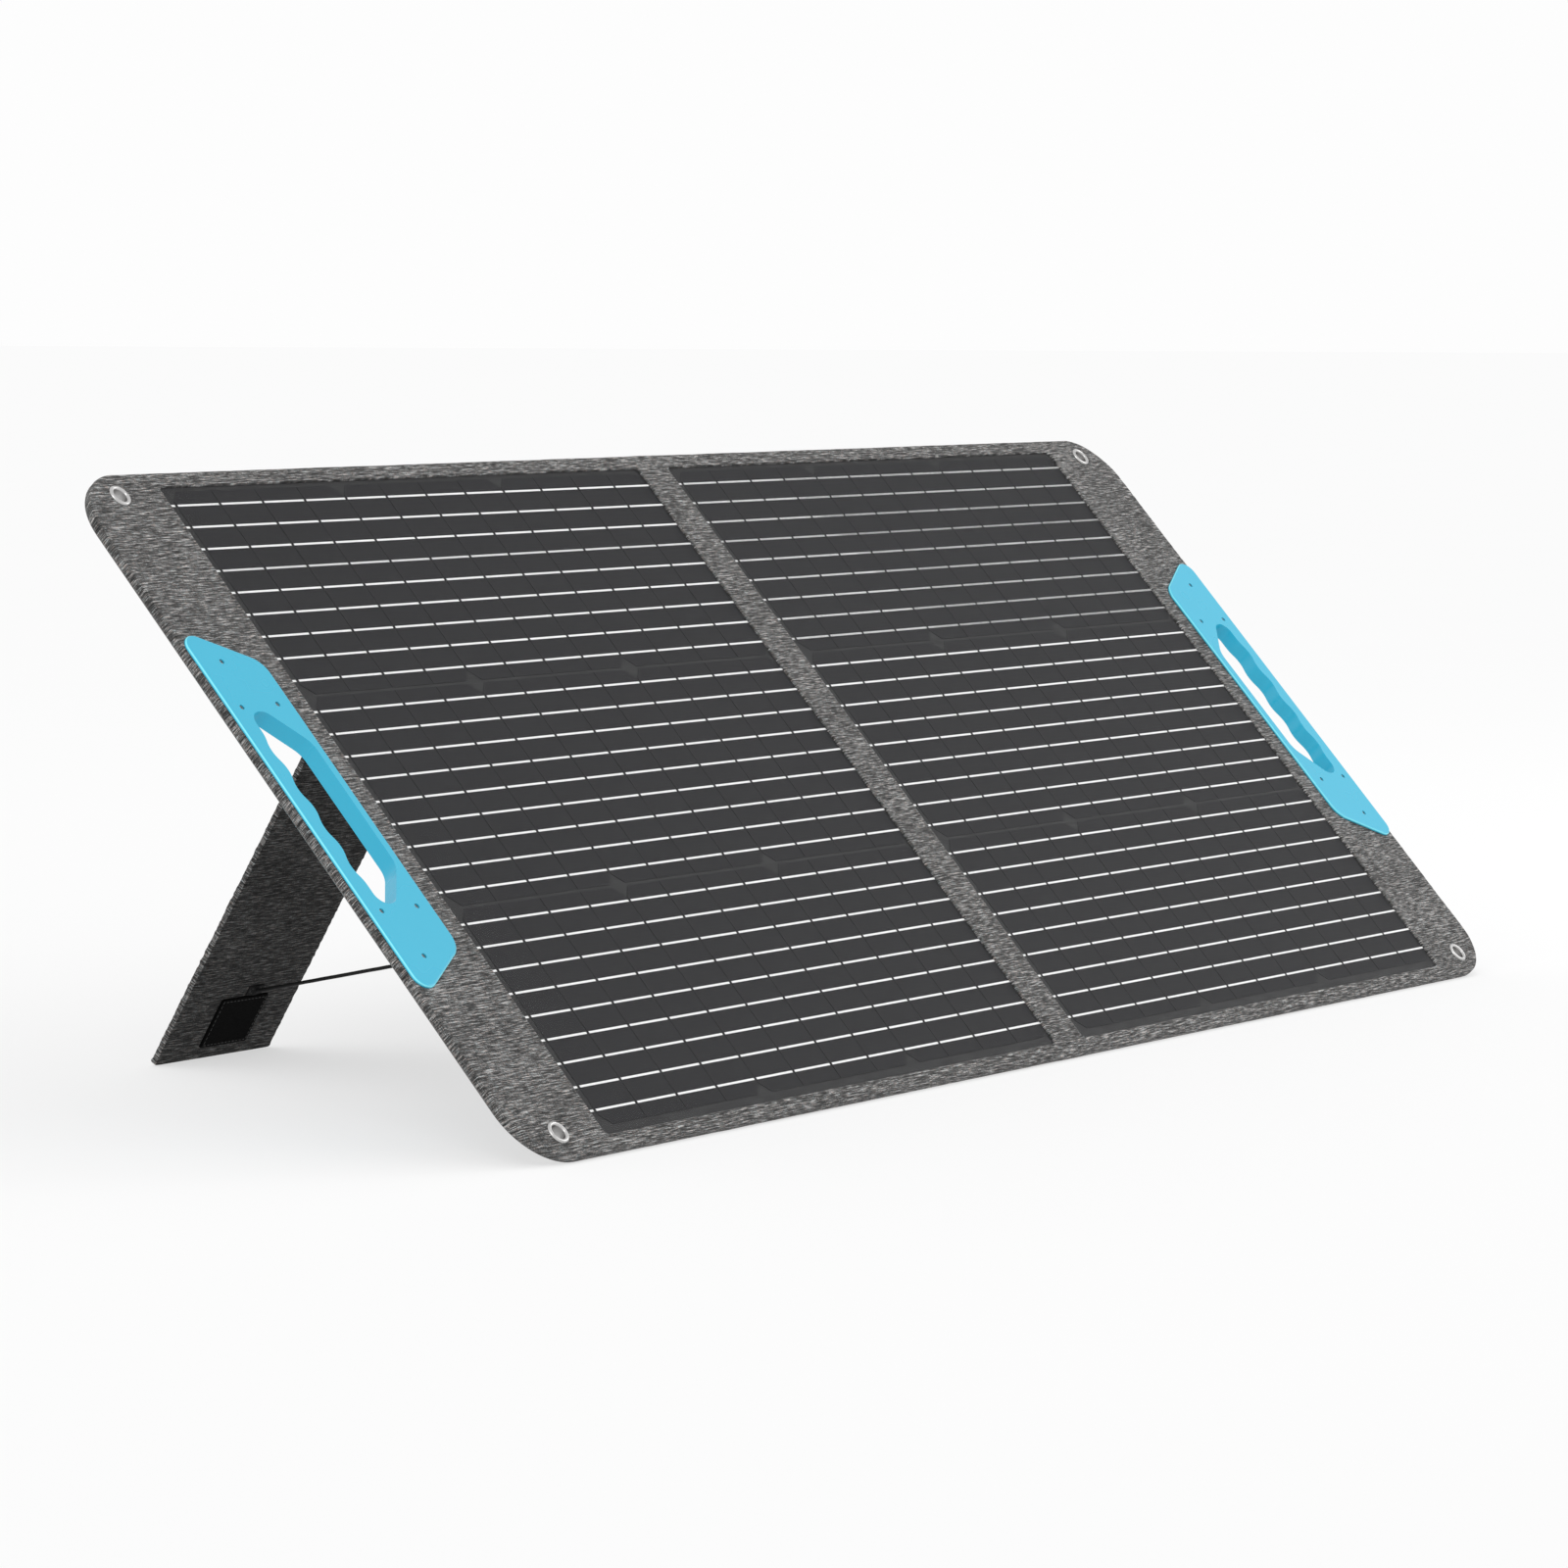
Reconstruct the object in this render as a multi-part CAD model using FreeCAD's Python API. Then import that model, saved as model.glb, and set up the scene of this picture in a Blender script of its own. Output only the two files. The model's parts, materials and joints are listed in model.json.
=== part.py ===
import FreeCAD, Part
import math
import os

from FreeCAD import Placement, Rotation, Vector

# A two-leaf folding solar panel that stands on the floor, leaning back on two fold-out kickstands.
#
# Three frames are used, all in millimetres.
# Panel frame: x to the right, y up the slope of the panel, z out of its front face. The origin is
#   on the face of the laminates, midway between them, level with their lower edges.
# Stand frame: the panel frame while a kickstand lies folded against the back of its leaf.
# The port cover is drawn closed in the panel frame, and then turned to hang open from its pin.
# Row frame: z up, the front of the panel faces -y, the origin is the middle of the bounding box
#   at floor level.

# Pose at rest
TILT = 47.79  # panel slope above the floor, degrees
STAND_SLOPE = 58.0  # kickstand slope above the floor, degrees

# Leaf outline, in the panel frame, given for the right leaf
LEAF_INNER = 10.4
LEAF_OUTER = 608.5
LEAF_BOTTOM = -11.0
LEAF_TOP = 524.8
LEAF_CORNER = 43.0
LEAF_SPINE_CORNER = 1.0

# Layers of a leaf, as levels of z
COVER_FACE = 0.8
FILM_FACE = 0.0
RIBBON_FACE = -0.3
CELL_FACE = -0.5
SHEET_FACE = -0.7
CORE_FACE = -2.0
CORE_BACK = -6.2
LEAF_BACK = -7.0
BAND = 1.0  # thickness of the fabric round the edge
BACK_ROUND = 3.0  # rounding of the back edge

# Window in the front cover, and the laminate behind it
WINDOW = 513.0
WINDOW_INNER = 17.66
WINDOW_CORNER = 4.0
HIDDEN = 4.0  # laminate under the edge of the cover
CORE_OUTER = 540.0  # where the core board ends and the grip board starts

# Solar cells: square wafers cut into four strips each
WAFERS_UP = 3
STRIPS = 12
STRIPS_PER_WAFER = 4
STRIP_PITCH = 42.4
STRIP_GAP = 0.9
WAFER = 166.0
WAFER_PITCH = 168.3
WAFER_BOTTOM = 6.8
WAFER_CORNER = 8.0
STRIP_START = 6.1
RIBBONS_PER_WAFER = 9
RIBBON_PITCH = 17.9
RIBBON_WIDTH = 1.5
RIBBON_GAP = 2.9
LEAD_START = -0.5  # start of the leads before the edge of the window
LEAD_IN = 4.6
COLLECTOR = 3.0
COLLECTOR_INSET = 0.4
LAST_COLLECTOR = 2.2
LAST_INSET = 0.2

# Handle, with its hand hole and six screws
HANDLE_MID_X = 577.85
HANDLE_MID_Y = 256.8
HANDLE_WIDTH = 58.7
HANDLE_OUTER_LENGTH = 287.0
HANDLE_INNER_LENGTH = 225.4
HANDLE_OUTER_CORNER = 10.0
HANDLE_INNER_CORNER = 16.0
HANDLE_FRONT = 2.8
HANDLE_BACK = -9.0
HANDLE_SPLIT = -2.0
HANDLE_EDGE = 1.4
HANDLE_BACK_INSET = 2.8  # outer side of the back half inside that of the front half
SLEEVE = 1.8
SLEEVE_PLAY = 0.2
HOLE_INNER = 555.0
HOLE_OUTER = 594.6
HOLE_LENGTH = 150.0
HOLE_STRAIGHT = 96.0
HOLE_SHOULDER = 23.3
HOLE_INNER_ROUND = 16.0
HOLE_SHOULDER_ROUND = 10.0
HOLE_TIP_ROUND = 9.0
FINGER_PITCH = 30.0
FINGER_DEPTH = 3.0
FINGERS = 4
SCREW_SPOTS = [(562.0, 79.4), (596.0, 79.4), (586.0, 115.0)]  # x, distance from the handle's middle
SCREW_HEAD = 1.7
SCREW_HEAD_LOW = 1.2
SCREW_HEAD_HIGH = 2.0
SCREW_SHANK = 1.1
SCREW_END = -7.8
SCREW_PLAY = 0.15
SCREW_FIT = 0.05
SCREW_TIP_GAP = 0.2
SCREW_SLOT_HALF = 0.3
SCREW_SLOT_DEPTH = 0.4
PAST = 40.0  # how far a cutting outline runs past what it cuts

# Grommets in the outer corners
GROMMET_X = 572.0
GROMMET_UP = (7.7, 507.0)
GROMMET_BORE = 5.0
GROMMET_BARREL = 5.6
GROMMET_RIM = 8.0
GROMMET_FACE = 1.9
GROMMET_WASHER = 0.7
GROMMET_CURL = 0.5
GROMMET_CURL_WIDTH = 1.0
GROMMET_LIP = 0.2

# Kickstands, in the stand frame
STAND_INNER = 259.2
STAND_OUTER = 379.7
STAND_THICK = 5.4
STAND_SKIN = 0.8
STAND_CORNER = 2.0
STAND_TOP_GAP = 10.0
HINGE_UP = 413.0
HINGE_BEHIND = 0.3  # hinge line behind the back of the leaf
STAND_OFFSET = 2.7  # inner face of the stand behind the hinge line
HINGE_TAPE_UP = 26.0
HINGE_TAPE_LOW = 2.6
PATCH_X = 317.0
PATCH_WIDTH = 48.0
PATCH_HEIGHT = 40.0
PATCH_ABOVE_FOOT = 10.5
PATCH_THICK = 1.3
PATCH_CORNER = 1.5

# Tethers that stop the kickstands
TETHER_X = 309.5
TETHER_DIAMETER = 2.5
TETHER_ABOVE_FOOT = 55.0
TETHER_ON_LEAF = 151.0
TETHER_OFF_FACE = 1.5
TAB_THICK = 0.6
TAB_WIDTH = 16.0
TAB_HEIGHT = 8.0
TAB_CORNER = 1.0
TAB_GAP = 0.3  # between the tab on the kickstand and its patch

# Spine between the leaves
SPINE_HALF = 10.0
SPINE_BOTTOM = -8.4
SPINE_TOP = 524.0
SPINE_THICK = 0.8
CABLE_UP = (236.0, 262.0)
CABLE_WIDTH = 14.0
CABLE_FACE = -2.8
CABLE_THICK = 0.6

# Junction box on the back of the right leaf
BOX_LEFT = 75.0
BOX_RIGHT = 175.0
BOX_LOW = 330.0
BOX_HIGH = 400.0
BOX_CORNER = 6.0
BOX_WALL = 2.4
BOX_FLOOR = 1.6
BOX_RIM = -20.5
GASKET_THICK = 0.8
GASKET_INSET = 0.3
LID_THICK = 2.2
LID_EDGE = 1.0
BOX_SCREW_INSET = 7.0
BOX_SCREW = 1.5
BOX_SCREW_HEAD = 2.8
BOX_SCREW_HEAD_HEIGHT = 1.0
BOX_SCREW_SINK = 0.2  # head below the face of the lid
BOX_SCREW_REACH = 10.0
BOX_POST = 3.7
CROSS_REACH = 1.6
CROSS_HALF = 0.3
CROSS_DEPTH = 0.4

# Terminal rail and diodes, measured from the lower left corner and the floor of the tray
RAIL_INSET = 18.0
RAIL_UP = 38.0
RAIL_HEIGHT = 12.0
RAIL_THICK = 3.5
TERMINALS = (24.0, 46.0, 68.0)
TERMINAL = 8.0
TERMINAL_TALL = 2.4
DIODE_LENGTH = 9.0
DIODE_RADIUS = 1.7
DIODE_LEAD = 0.4

# Output socket in the lower wall of the box, and its hinged cover
SOCKET_X = 125.0
SOCKET_Z = -14.5
SOCKET_RADIUS = 5.4
SOCKET_FIT = 0.05
SOCKET_BORE = 4.0
SOCKET_DEPTH = 12.0
SOCKET_MOUTH = 318.0
SOCKET_INSIDE = 338.0
NUT_THICK = 2.0
NUT_RIM = 0.45
NUT_GAP = 0.1
COVER_PIN_UP = 316.4
COVER_PIN_Z = -21.9
COVER_PIN = 0.8
COVER_PIN_PLAY = 0.05
KNUCKLE = 1.5
COVER_HALF = 6.4
COVER_THICK = 2.0
COVER_OFF_LEAF = 0.7
EAR_INNER = 6.7
EAR_OUTER = 9.2
EAR_OFF_LID = 0.3
EAR_ROOT = 0.5  # how far the ears reach into the wall of the tray
EAR_FOOT = 4.0

OUT = "parts"
NEAR = 1e-4
X_AXIS = Vector(1, 0, 0)
Z_AXIS = Vector(0, 0, 1)


# ---------------------------------------------------------------- where things stand


def slope_point(up, out):
    """(y, z) on the floor's own level directions of a panel-frame point, before the row origin."""
    tilt = math.radians(TILT)
    return (
        up * math.cos(tilt) - out * math.sin(tilt),
        up * math.sin(tilt) + out * math.cos(tilt),
    )


HINGE_OUT = LEAF_BACK - HINGE_BEHIND
STAND_FACE = HINGE_OUT - STAND_OFFSET
STAND_BACK = STAND_FACE - STAND_THICK
OPEN_ANGLE = 180.0 - STAND_SLOPE - TILT
FLOOR = slope_point(LEAF_BOTTOM + BACK_ROUND, LEAF_BACK + BACK_ROUND)[1] - BACK_ROUND


def stand_reach():
    """Distance from the hinge line down to the foot that just meets the floor."""
    slope = math.radians(STAND_SLOPE)
    height = slope_point(HINGE_UP, HINGE_OUT)[1] + STAND_OFFSET * math.cos(slope) - FLOOR
    return height / math.sin(slope)


STAND_REACH = stand_reach()
STAND_FOOT = HINGE_UP - STAND_REACH


def row_origin():
    """The row origin's y and z before it is moved to zero."""
    slope = math.radians(STAND_SLOPE)
    front = slope_point(LEAF_BOTTOM, COVER_FACE)[0]
    hinge = slope_point(HINGE_UP, HINGE_OUT)[0]
    back_face = STAND_OFFSET + STAND_THICK
    rear = hinge + STAND_REACH * math.cos(slope) + back_face * math.sin(slope)
    return (front + rear) / 2, FLOOR


ORIGIN_Y, ORIGIN_Z = row_origin()
PANEL = Placement(Vector(0, -ORIGIN_Y, -ORIGIN_Z), Rotation(X_AXIS, TILT))
OPENED = Placement(
    Vector(0, 0, 0), Rotation(X_AXIS, OPEN_ANGLE), Vector(0, HINGE_UP, HINGE_OUT)
)
STAND = PANEL.multiply(OPENED)
HUNG = PANEL.multiply(
    Placement(
        Vector(0, 0, 0), Rotation(X_AXIS, 180.0 - TILT), Vector(0, COVER_PIN_UP, COVER_PIN_Z)
    )
)


# ---------------------------------------------------------------- drawing helpers


def rounded(corners):
    """Closed wire through corners given as (x, y, radius)."""
    edges = []
    spans = []
    count = len(corners)
    for i, (x, y, radius) in enumerate(corners):
        here = Vector(x, y, 0)
        before = Vector(*corners[i - 1][:2], 0).sub(here).normalize()
        after = Vector(*corners[(i + 1) % count][:2], 0).sub(here).normalize()
        half = before.getAngle(after) / 2
        if radius <= 0:
            spans.append((here, here))
            continue
        reach = radius / math.tan(half)
        start = here + before * reach
        end = here + after * reach
        middle = before.add(after).normalize()
        centre = here + middle * (radius / math.sin(half))
        edges.append(Part.Arc(start, centre - middle * radius, end).toShape())
        spans.append((start, end))
    for i, (start, _) in enumerate(spans):
        previous = spans[i - 1][1]
        if previous.distanceToPoint(start) > NEAR:
            edges.append(Part.LineSegment(previous, start).toShape())
    return Part.Wire(Part.__sortEdges__(edges))


def rectangle(left, right, low, high, radius=0.0):
    """Closed wire of an upright rectangle."""
    return rounded(
        [(left, low, radius), (right, low, radius), (right, high, radius), (left, high, radius)]
    )


def circle(x, y, radius):
    """Closed circular wire."""
    return Part.Wire(Part.Circle(Vector(x, y, 0), Z_AXIS, radius).toShape())


def plate(wire, low, high, holes=()):
    """Solid between two levels of z, with through holes given as wires."""
    solid = Part.Face(wire).extrude(Vector(0, 0, high - low))
    for hole in holes:
        solid = solid.cut(Part.Face(hole).extrude(Vector(0, 0, high - low)))
    solid.translate(Vector(0, 0, low))
    return solid


def block(left, right, near, far, low, high):
    """Box from its limits along x, y and z."""
    return Part.makeBox(right - left, far - near, high - low, Vector(left, near, low))


def rod(start, end, radius):
    """Cylinder between two points."""
    along = end.sub(start)
    return Part.makeCylinder(radius, along.Length, start, along)


def edges_at(shape, level):
    """Edges that lie wholly at one level of z."""
    found = []
    for edge in shape.Edges:
        box = edge.BoundBox
        if abs(box.ZMin - level) < NEAR and abs(box.ZMax - level) < NEAR:
            found.append(edge)
    return found


def mirrored(shape):
    """The same piece on the left leaf."""
    return shape.mirror(Vector(0, 0, 0), X_AXIS)


def save(node, shapes, placement):
    """Writes one node, made of one solid or of several separate ones."""
    placed = []
    for shape in shapes:
        for solid in shape.Solids:
            copy = solid.copy()
            copy.Placement = placement.multiply(copy.Placement)
            placed.append(copy)
    whole = placed[0] if len(placed) == 1 else Part.makeCompound(placed)
    whole.exportStep(f"{OUT}/{node}.step")


# ---------------------------------------------------------------- outlines


def leaf_outline(inset=0.0):
    """Outline of the right leaf, drawn in by inset."""
    left = LEAF_INNER + inset
    right = LEAF_OUTER - inset
    low = LEAF_BOTTOM + inset
    high = LEAF_TOP - inset
    small = max(LEAF_SPINE_CORNER - inset, 0.0)
    big = LEAF_CORNER - inset
    return rounded([(left, low, small), (right, low, big), (right, high, big), (left, high, small)])


def handle_outline(inset=0.0):
    """The handle's outline: a trapezium with its longer side at the edge of the leaf.

    The outer side is drawn in by inset.
    """
    half = HANDLE_WIDTH / 2
    inner = HANDLE_INNER_LENGTH / 2
    taper = (HANDLE_OUTER_LENGTH / 2 - inner) / HANDLE_WIDTH
    outer = HANDLE_OUTER_LENGTH / 2 - inset * taper
    right = HANDLE_MID_X + half - inset
    left = HANDLE_MID_X - half
    return rounded(
        [
            (left, HANDLE_MID_Y - inner, HANDLE_INNER_CORNER),
            (right, HANDLE_MID_Y - outer, HANDLE_OUTER_CORNER),
            (right, HANDLE_MID_Y + outer, HANDLE_OUTER_CORNER),
            (left, HANDLE_MID_Y + inner, HANDLE_INNER_CORNER),
        ]
    )


def finger_edges(x, swing):
    """Arcs up the outer side of the hand hole: a hollow for each finger, with humps between.

    Also gives the lowest and highest points of the chain and the x of its crests.
    """
    edges = []
    chord = FINGER_PITCH / 2
    low = HANDLE_MID_Y - FINGER_PITCH * FINGERS / 2
    crest = x - swing
    for finger in range(FINGERS):
        base = low + finger * FINGER_PITCH
        start = Vector(crest, base, 0)
        first_turn = Vector(x, base + chord / 2, 0)
        bulge = Vector(x + swing, base + chord, 0)
        second_turn = Vector(x, base + chord * 1.5, 0)
        end = Vector(crest, base + FINGER_PITCH, 0)
        edges.append(hump_edge(start, first_turn, swing, chord))
        edges.append(Part.Arc(first_turn, bulge, second_turn).toShape())
        edges.append(hump_edge(end, second_turn, swing, chord))
    return edges, low, low + FINGER_PITCH * FINGERS, crest


def hump_edge(tip, turn, swing, chord):
    """Arc from the crest of a hump to where it turns into a hollow."""
    radius = ((chord / 2) ** 2 + swing**2) / (2 * swing)
    angle = math.asin((chord / 2) / radius) / 2
    side = 1 if turn.y > tip.y else -1
    centre = Vector(tip.x + radius, tip.y, 0)
    middle = centre + Vector(-radius * math.cos(angle), side * radius * math.sin(angle), 0)
    return Part.Arc(tip, middle, turn).toShape()


def hand_hole(grow=0.0):
    """Outline of the hand hole, made larger all round by grow."""
    edges, low, high, crest = finger_edges(HOLE_OUTER + grow, FINGER_DEPTH / 2)
    top = HANDLE_MID_Y + HOLE_LENGTH / 2 + grow
    bottom = HANDLE_MID_Y - HOLE_LENGTH / 2 - grow
    inner = HOLE_INNER - grow
    shoulder = inner + HOLE_SHOULDER
    straight = HOLE_STRAIGHT / 2 + grow / 2
    rest = rounded(
        [
            (crest + PAST, bottom, 0.0),
            (crest + PAST, top, 0.0),
            (shoulder, top, HOLE_SHOULDER_ROUND),
            (inner, HANDLE_MID_Y + straight, HOLE_INNER_ROUND),
            (inner, HANDLE_MID_Y - straight, HOLE_INNER_ROUND),
            (shoulder, bottom, HOLE_SHOULDER_ROUND),
        ]
    )
    room = Part.Face(rest)
    tip = HOLE_TIP_ROUND
    far = inner - PAST
    corners = [
        (Vector(crest, high, 0), Vector(crest, top - tip, 0)),
        (Vector(crest - tip, top, 0), Vector(far, top, 0)),
        (Vector(far, top, 0), Vector(far, bottom, 0)),
        (Vector(far, bottom, 0), Vector(crest - tip, bottom, 0)),
        (Vector(crest, bottom + tip, 0), Vector(crest, low, 0)),
    ]
    limit = [Part.LineSegment(start, end).toShape() for start, end in corners]
    limit += [tip_edge(crest, top, tip, -1), tip_edge(crest, bottom, tip, 1)]
    side = Part.Face(Part.Wire(Part.__sortEdges__(edges + limit)))
    return room.common(side).Faces[0].OuterWire


def tip_edge(x, y, radius, side):
    """Quarter arc where the finger side meets an end of the hand hole."""
    start = Vector(x, y + side * radius, 0)
    end = Vector(x - radius, y, 0)
    centre = Vector(x - radius, y + side * radius, 0)
    slant = radius * math.sqrt(0.5)
    return Part.Arc(start, centre + Vector(slant, -side * slant, 0), end).toShape()


def screw_places():
    """Where the six handle screws go."""
    places = []
    for x, away in SCREW_SPOTS:
        places.append((x, HANDLE_MID_Y + away))
        places.append((x, HANDLE_MID_Y - away))
    return places


def leaf_holes():
    """Holes through the outer zone of a leaf: the hand hole, the screws and the grommets."""
    holes = [hand_hole(SLEEVE + SLEEVE_PLAY)]
    holes += [circle(x, y, SCREW_SHANK + SCREW_PLAY) for x, y in screw_places()]
    holes += [circle(GROMMET_X, y, GROMMET_BARREL + SCREW_PLAY) for y in GROMMET_UP]
    return holes


# ---------------------------------------------------------------- the leaf


def front_cover():
    """Heather fabric over the front, with the window for the laminate."""
    window = rectangle(WINDOW_INNER, WINDOW_INNER + WINDOW, 0, WINDOW, WINDOW_CORNER)
    return plate(leaf_outline(), FILM_FACE, COVER_FACE, [window] + leaf_holes())


def rounded_back(shape):
    """A piece of the leaf's fabric, cut to the rounded back edge."""
    far = LEAF_INNER - PAST
    outline = rounded(
        [
            (far, LEAF_BOTTOM, 0.0),
            (LEAF_OUTER, LEAF_BOTTOM, LEAF_CORNER),
            (LEAF_OUTER, LEAF_TOP, LEAF_CORNER),
            (far, LEAF_TOP, 0.0),
        ]
    )
    body = plate(outline, LEAF_BACK, COVER_FACE)
    edges = [edge for edge in edges_at(body, LEAF_BACK) if edge.BoundBox.XMax > far + NEAR]
    return shape.common(body.makeFillet(BACK_ROUND, edges))


def back_cover():
    """Fabric over the back, inside the edge band."""
    return rounded_back(plate(leaf_outline(BAND), LEAF_BACK, CORE_BACK, leaf_holes()))


def hem_limits():
    """The straight stretch of the lower edge that meets the floor."""
    return LEAF_INNER, LEAF_OUTER - LEAF_CORNER, LEAF_BOTTOM, LEAF_BOTTOM + BAND


def edge_band():
    """Fabric round the edge of the leaf, except for the strip that stands on the floor."""
    ring = plate(leaf_outline(), LEAF_BACK, FILM_FACE, [leaf_outline(BAND)])
    left, right, low, high = hem_limits()
    hem = block(left - BAND, right, low - BAND, high, LEAF_BACK - 1, FILM_FACE + 1)
    return rounded_back(ring.cut(hem))


def bottom_hem():
    """Strip of edge fabric that the leaf stands on."""
    left, right, low, high = hem_limits()
    return rounded_back(block(left, right, low, high, LEAF_BACK, FILM_FACE))


def core_board():
    """Stiff board behind the laminate."""
    left = LEAF_INNER + BAND
    low = LEAF_BOTTOM + BAND
    high = LEAF_TOP - BAND
    return block(left, CORE_OUTER, low, high, CORE_BACK, CORE_FACE)


def grip_board():
    """Stiff board in the outer zone, which holds the handle and the grommets."""
    board = plate(leaf_outline(BAND), CORE_BACK, FILM_FACE, leaf_holes())
    return board.cut(block(0, CORE_OUTER, LEAF_BOTTOM, LEAF_TOP, CORE_BACK, FILM_FACE))


def laminate_limits():
    """The laminate's size: the window and what is hidden under the cover."""
    left = WINDOW_INNER - HIDDEN
    return left, left + WINDOW + 2 * HIDDEN, -HIDDEN, WINDOW + HIDDEN


def foam_strips():
    """Foam that fills the margin round the laminate."""
    left, right, low, high = laminate_limits()
    near = LEAF_INNER + BAND
    floor = LEAF_BOTTOM + BAND
    ceiling = LEAF_TOP - BAND
    return [
        block(near, CORE_OUTER, high, ceiling, CORE_FACE, FILM_FACE),
        block(near, CORE_OUTER, floor, low, CORE_FACE, FILM_FACE),
        block(near, left, low, high, CORE_FACE, FILM_FACE),
        block(right, CORE_OUTER, low, high, CORE_FACE, FILM_FACE),
    ]


def back_sheet():
    """Rigid sheet that carries the cells."""
    return block(*laminate_limits(), CORE_FACE, SHEET_FACE)


def front_film():
    """Clear matt film over the cells."""
    return block(*laminate_limits(), RIBBON_FACE, FILM_FACE)


def cell_strip(left, low, cut_left, cut_right):
    """One strip of a wafer, with the wafer's cut corners where it has them."""
    right = left + STRIP_PITCH - STRIP_GAP
    high = low + WAFER
    corner = WAFER_CORNER
    points = []
    if cut_left:
        points += [(left, low + corner), (left + corner, low)]
    else:
        points += [(left, low)]
    if cut_right:
        points += [(right - corner, low), (right, low + corner)]
        points += [(right, high - corner), (right - corner, high)]
    else:
        points += [(right, low), (right, high)]
    if cut_left:
        points += [(left + corner, high), (left, high - corner)]
    else:
        points += [(left, high)]
    return plate(rounded([(x, y, 0.0) for x, y in points]), SHEET_FACE, CELL_FACE)


def solar_cells(window_left):
    """All the cell strips of one leaf."""
    strips = []
    for row in range(WAFERS_UP):
        low = WAFER_BOTTOM + row * WAFER_PITCH
        for column in range(STRIPS):
            left = window_left + STRIP_START + STRIP_GAP / 2 + column * STRIP_PITCH
            place = column % STRIPS_PER_WAFER
            strips.append(cell_strip(left, low, place == 0, place == STRIPS_PER_WAFER - 1))
    return strips


def ribbon_rows():
    """Heights of the ribbon rows above the lower edge of the window."""
    margin = (WAFER - (RIBBONS_PER_WAFER - 1) * RIBBON_PITCH) / 2
    rows = []
    for row in range(WAFERS_UP):
        for ribbon in range(RIBBONS_PER_WAFER):
            rows.append(WAFER_BOTTOM + margin + row * WAFER_PITCH + ribbon * RIBBON_PITCH)
    return rows


def busbar_ribbons(window_left):
    """Tinned ribbons on the cells, and the collector bars at both ends of the rows."""
    half = RIBBON_WIDTH / 2
    pieces = []
    for up in ribbon_rows():
        start = window_left + LEAD_START
        end = window_left + LEAD_IN
        pieces.append(block(start, end, up - half, up + half, CELL_FACE, RIBBON_FACE))
        for column in range(STRIPS):
            left = window_left + STRIP_START + RIBBON_GAP / 2 + column * STRIP_PITCH
            right = left + STRIP_PITCH - RIBBON_GAP
            pieces.append(block(left, right, up - half, up + half, CELL_FACE, RIBBON_FACE))
    low = WAFER_BOTTOM
    high = WAFER_BOTTOM + (WAFERS_UP - 1) * WAFER_PITCH + WAFER
    first = window_left - HIDDEN + COLLECTOR_INSET
    last = window_left + WINDOW + HIDDEN - LAST_INSET
    pieces.append(block(first, first + COLLECTOR, low, high, CELL_FACE, RIBBON_FACE))
    pieces.append(block(last - LAST_COLLECTOR, last, low, high, CELL_FACE, RIBBON_FACE))
    return pieces


# ---------------------------------------------------------------- handle, screws and grommets


def handle_front():
    """Front half of the handle: a plate on the cover and a sleeve into the hand hole."""
    body = plate(handle_outline(), COVER_FACE, HANDLE_FRONT)
    body = body.makeFillet(HANDLE_EDGE, edges_at(body, HANDLE_FRONT))
    body = body.fuse(plate(hand_hole(SLEEVE), HANDLE_SPLIT, COVER_FACE)).removeSplitter()
    body = body.cut(plate(hand_hole(), HANDLE_SPLIT, HANDLE_FRONT))
    for x, y in screw_places():
        body = body.cut(plate(circle(x, y, SCREW_SHANK + SCREW_PLAY), COVER_FACE, SCREW_HEAD_LOW))
        body = body.cut(plate(circle(x, y, SCREW_HEAD + SCREW_PLAY), SCREW_HEAD_LOW, HANDLE_FRONT))
    return body


def handle_back():
    """Back half of the handle, with blind holes for the screws."""
    body = plate(handle_outline(HANDLE_BACK_INSET), HANDLE_BACK, LEAF_BACK)
    body = body.makeFillet(HANDLE_EDGE, edges_at(body, HANDLE_BACK))
    body = body.fuse(plate(hand_hole(SLEEVE), LEAF_BACK, HANDLE_SPLIT)).removeSplitter()
    body = body.cut(plate(hand_hole(), HANDLE_BACK, HANDLE_SPLIT))
    for x, y in screw_places():
        hole = circle(x, y, SCREW_SHANK + SCREW_FIT)
        body = body.cut(plate(hole, SCREW_END - SCREW_TIP_GAP, LEAF_BACK))
    return body


def handle_screws():
    """Six screws that clamp the two halves of the handle through the leaf."""
    screws = []
    for x, y in screw_places():
        head = plate(circle(x, y, SCREW_HEAD), SCREW_HEAD_LOW, SCREW_HEAD_HIGH)
        low = SCREW_HEAD_HIGH - SCREW_SLOT_DEPTH
        near = y - SCREW_SLOT_HALF
        far = y + SCREW_SLOT_HALF
        slot = block(x - SCREW_HEAD, x + SCREW_HEAD, near, far, low, SCREW_HEAD_HIGH)
        shank = plate(circle(x, y, SCREW_SHANK), SCREW_END, SCREW_HEAD_LOW)
        screws.append(head.cut(slot).fuse(shank).removeSplitter())
    return screws


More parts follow.
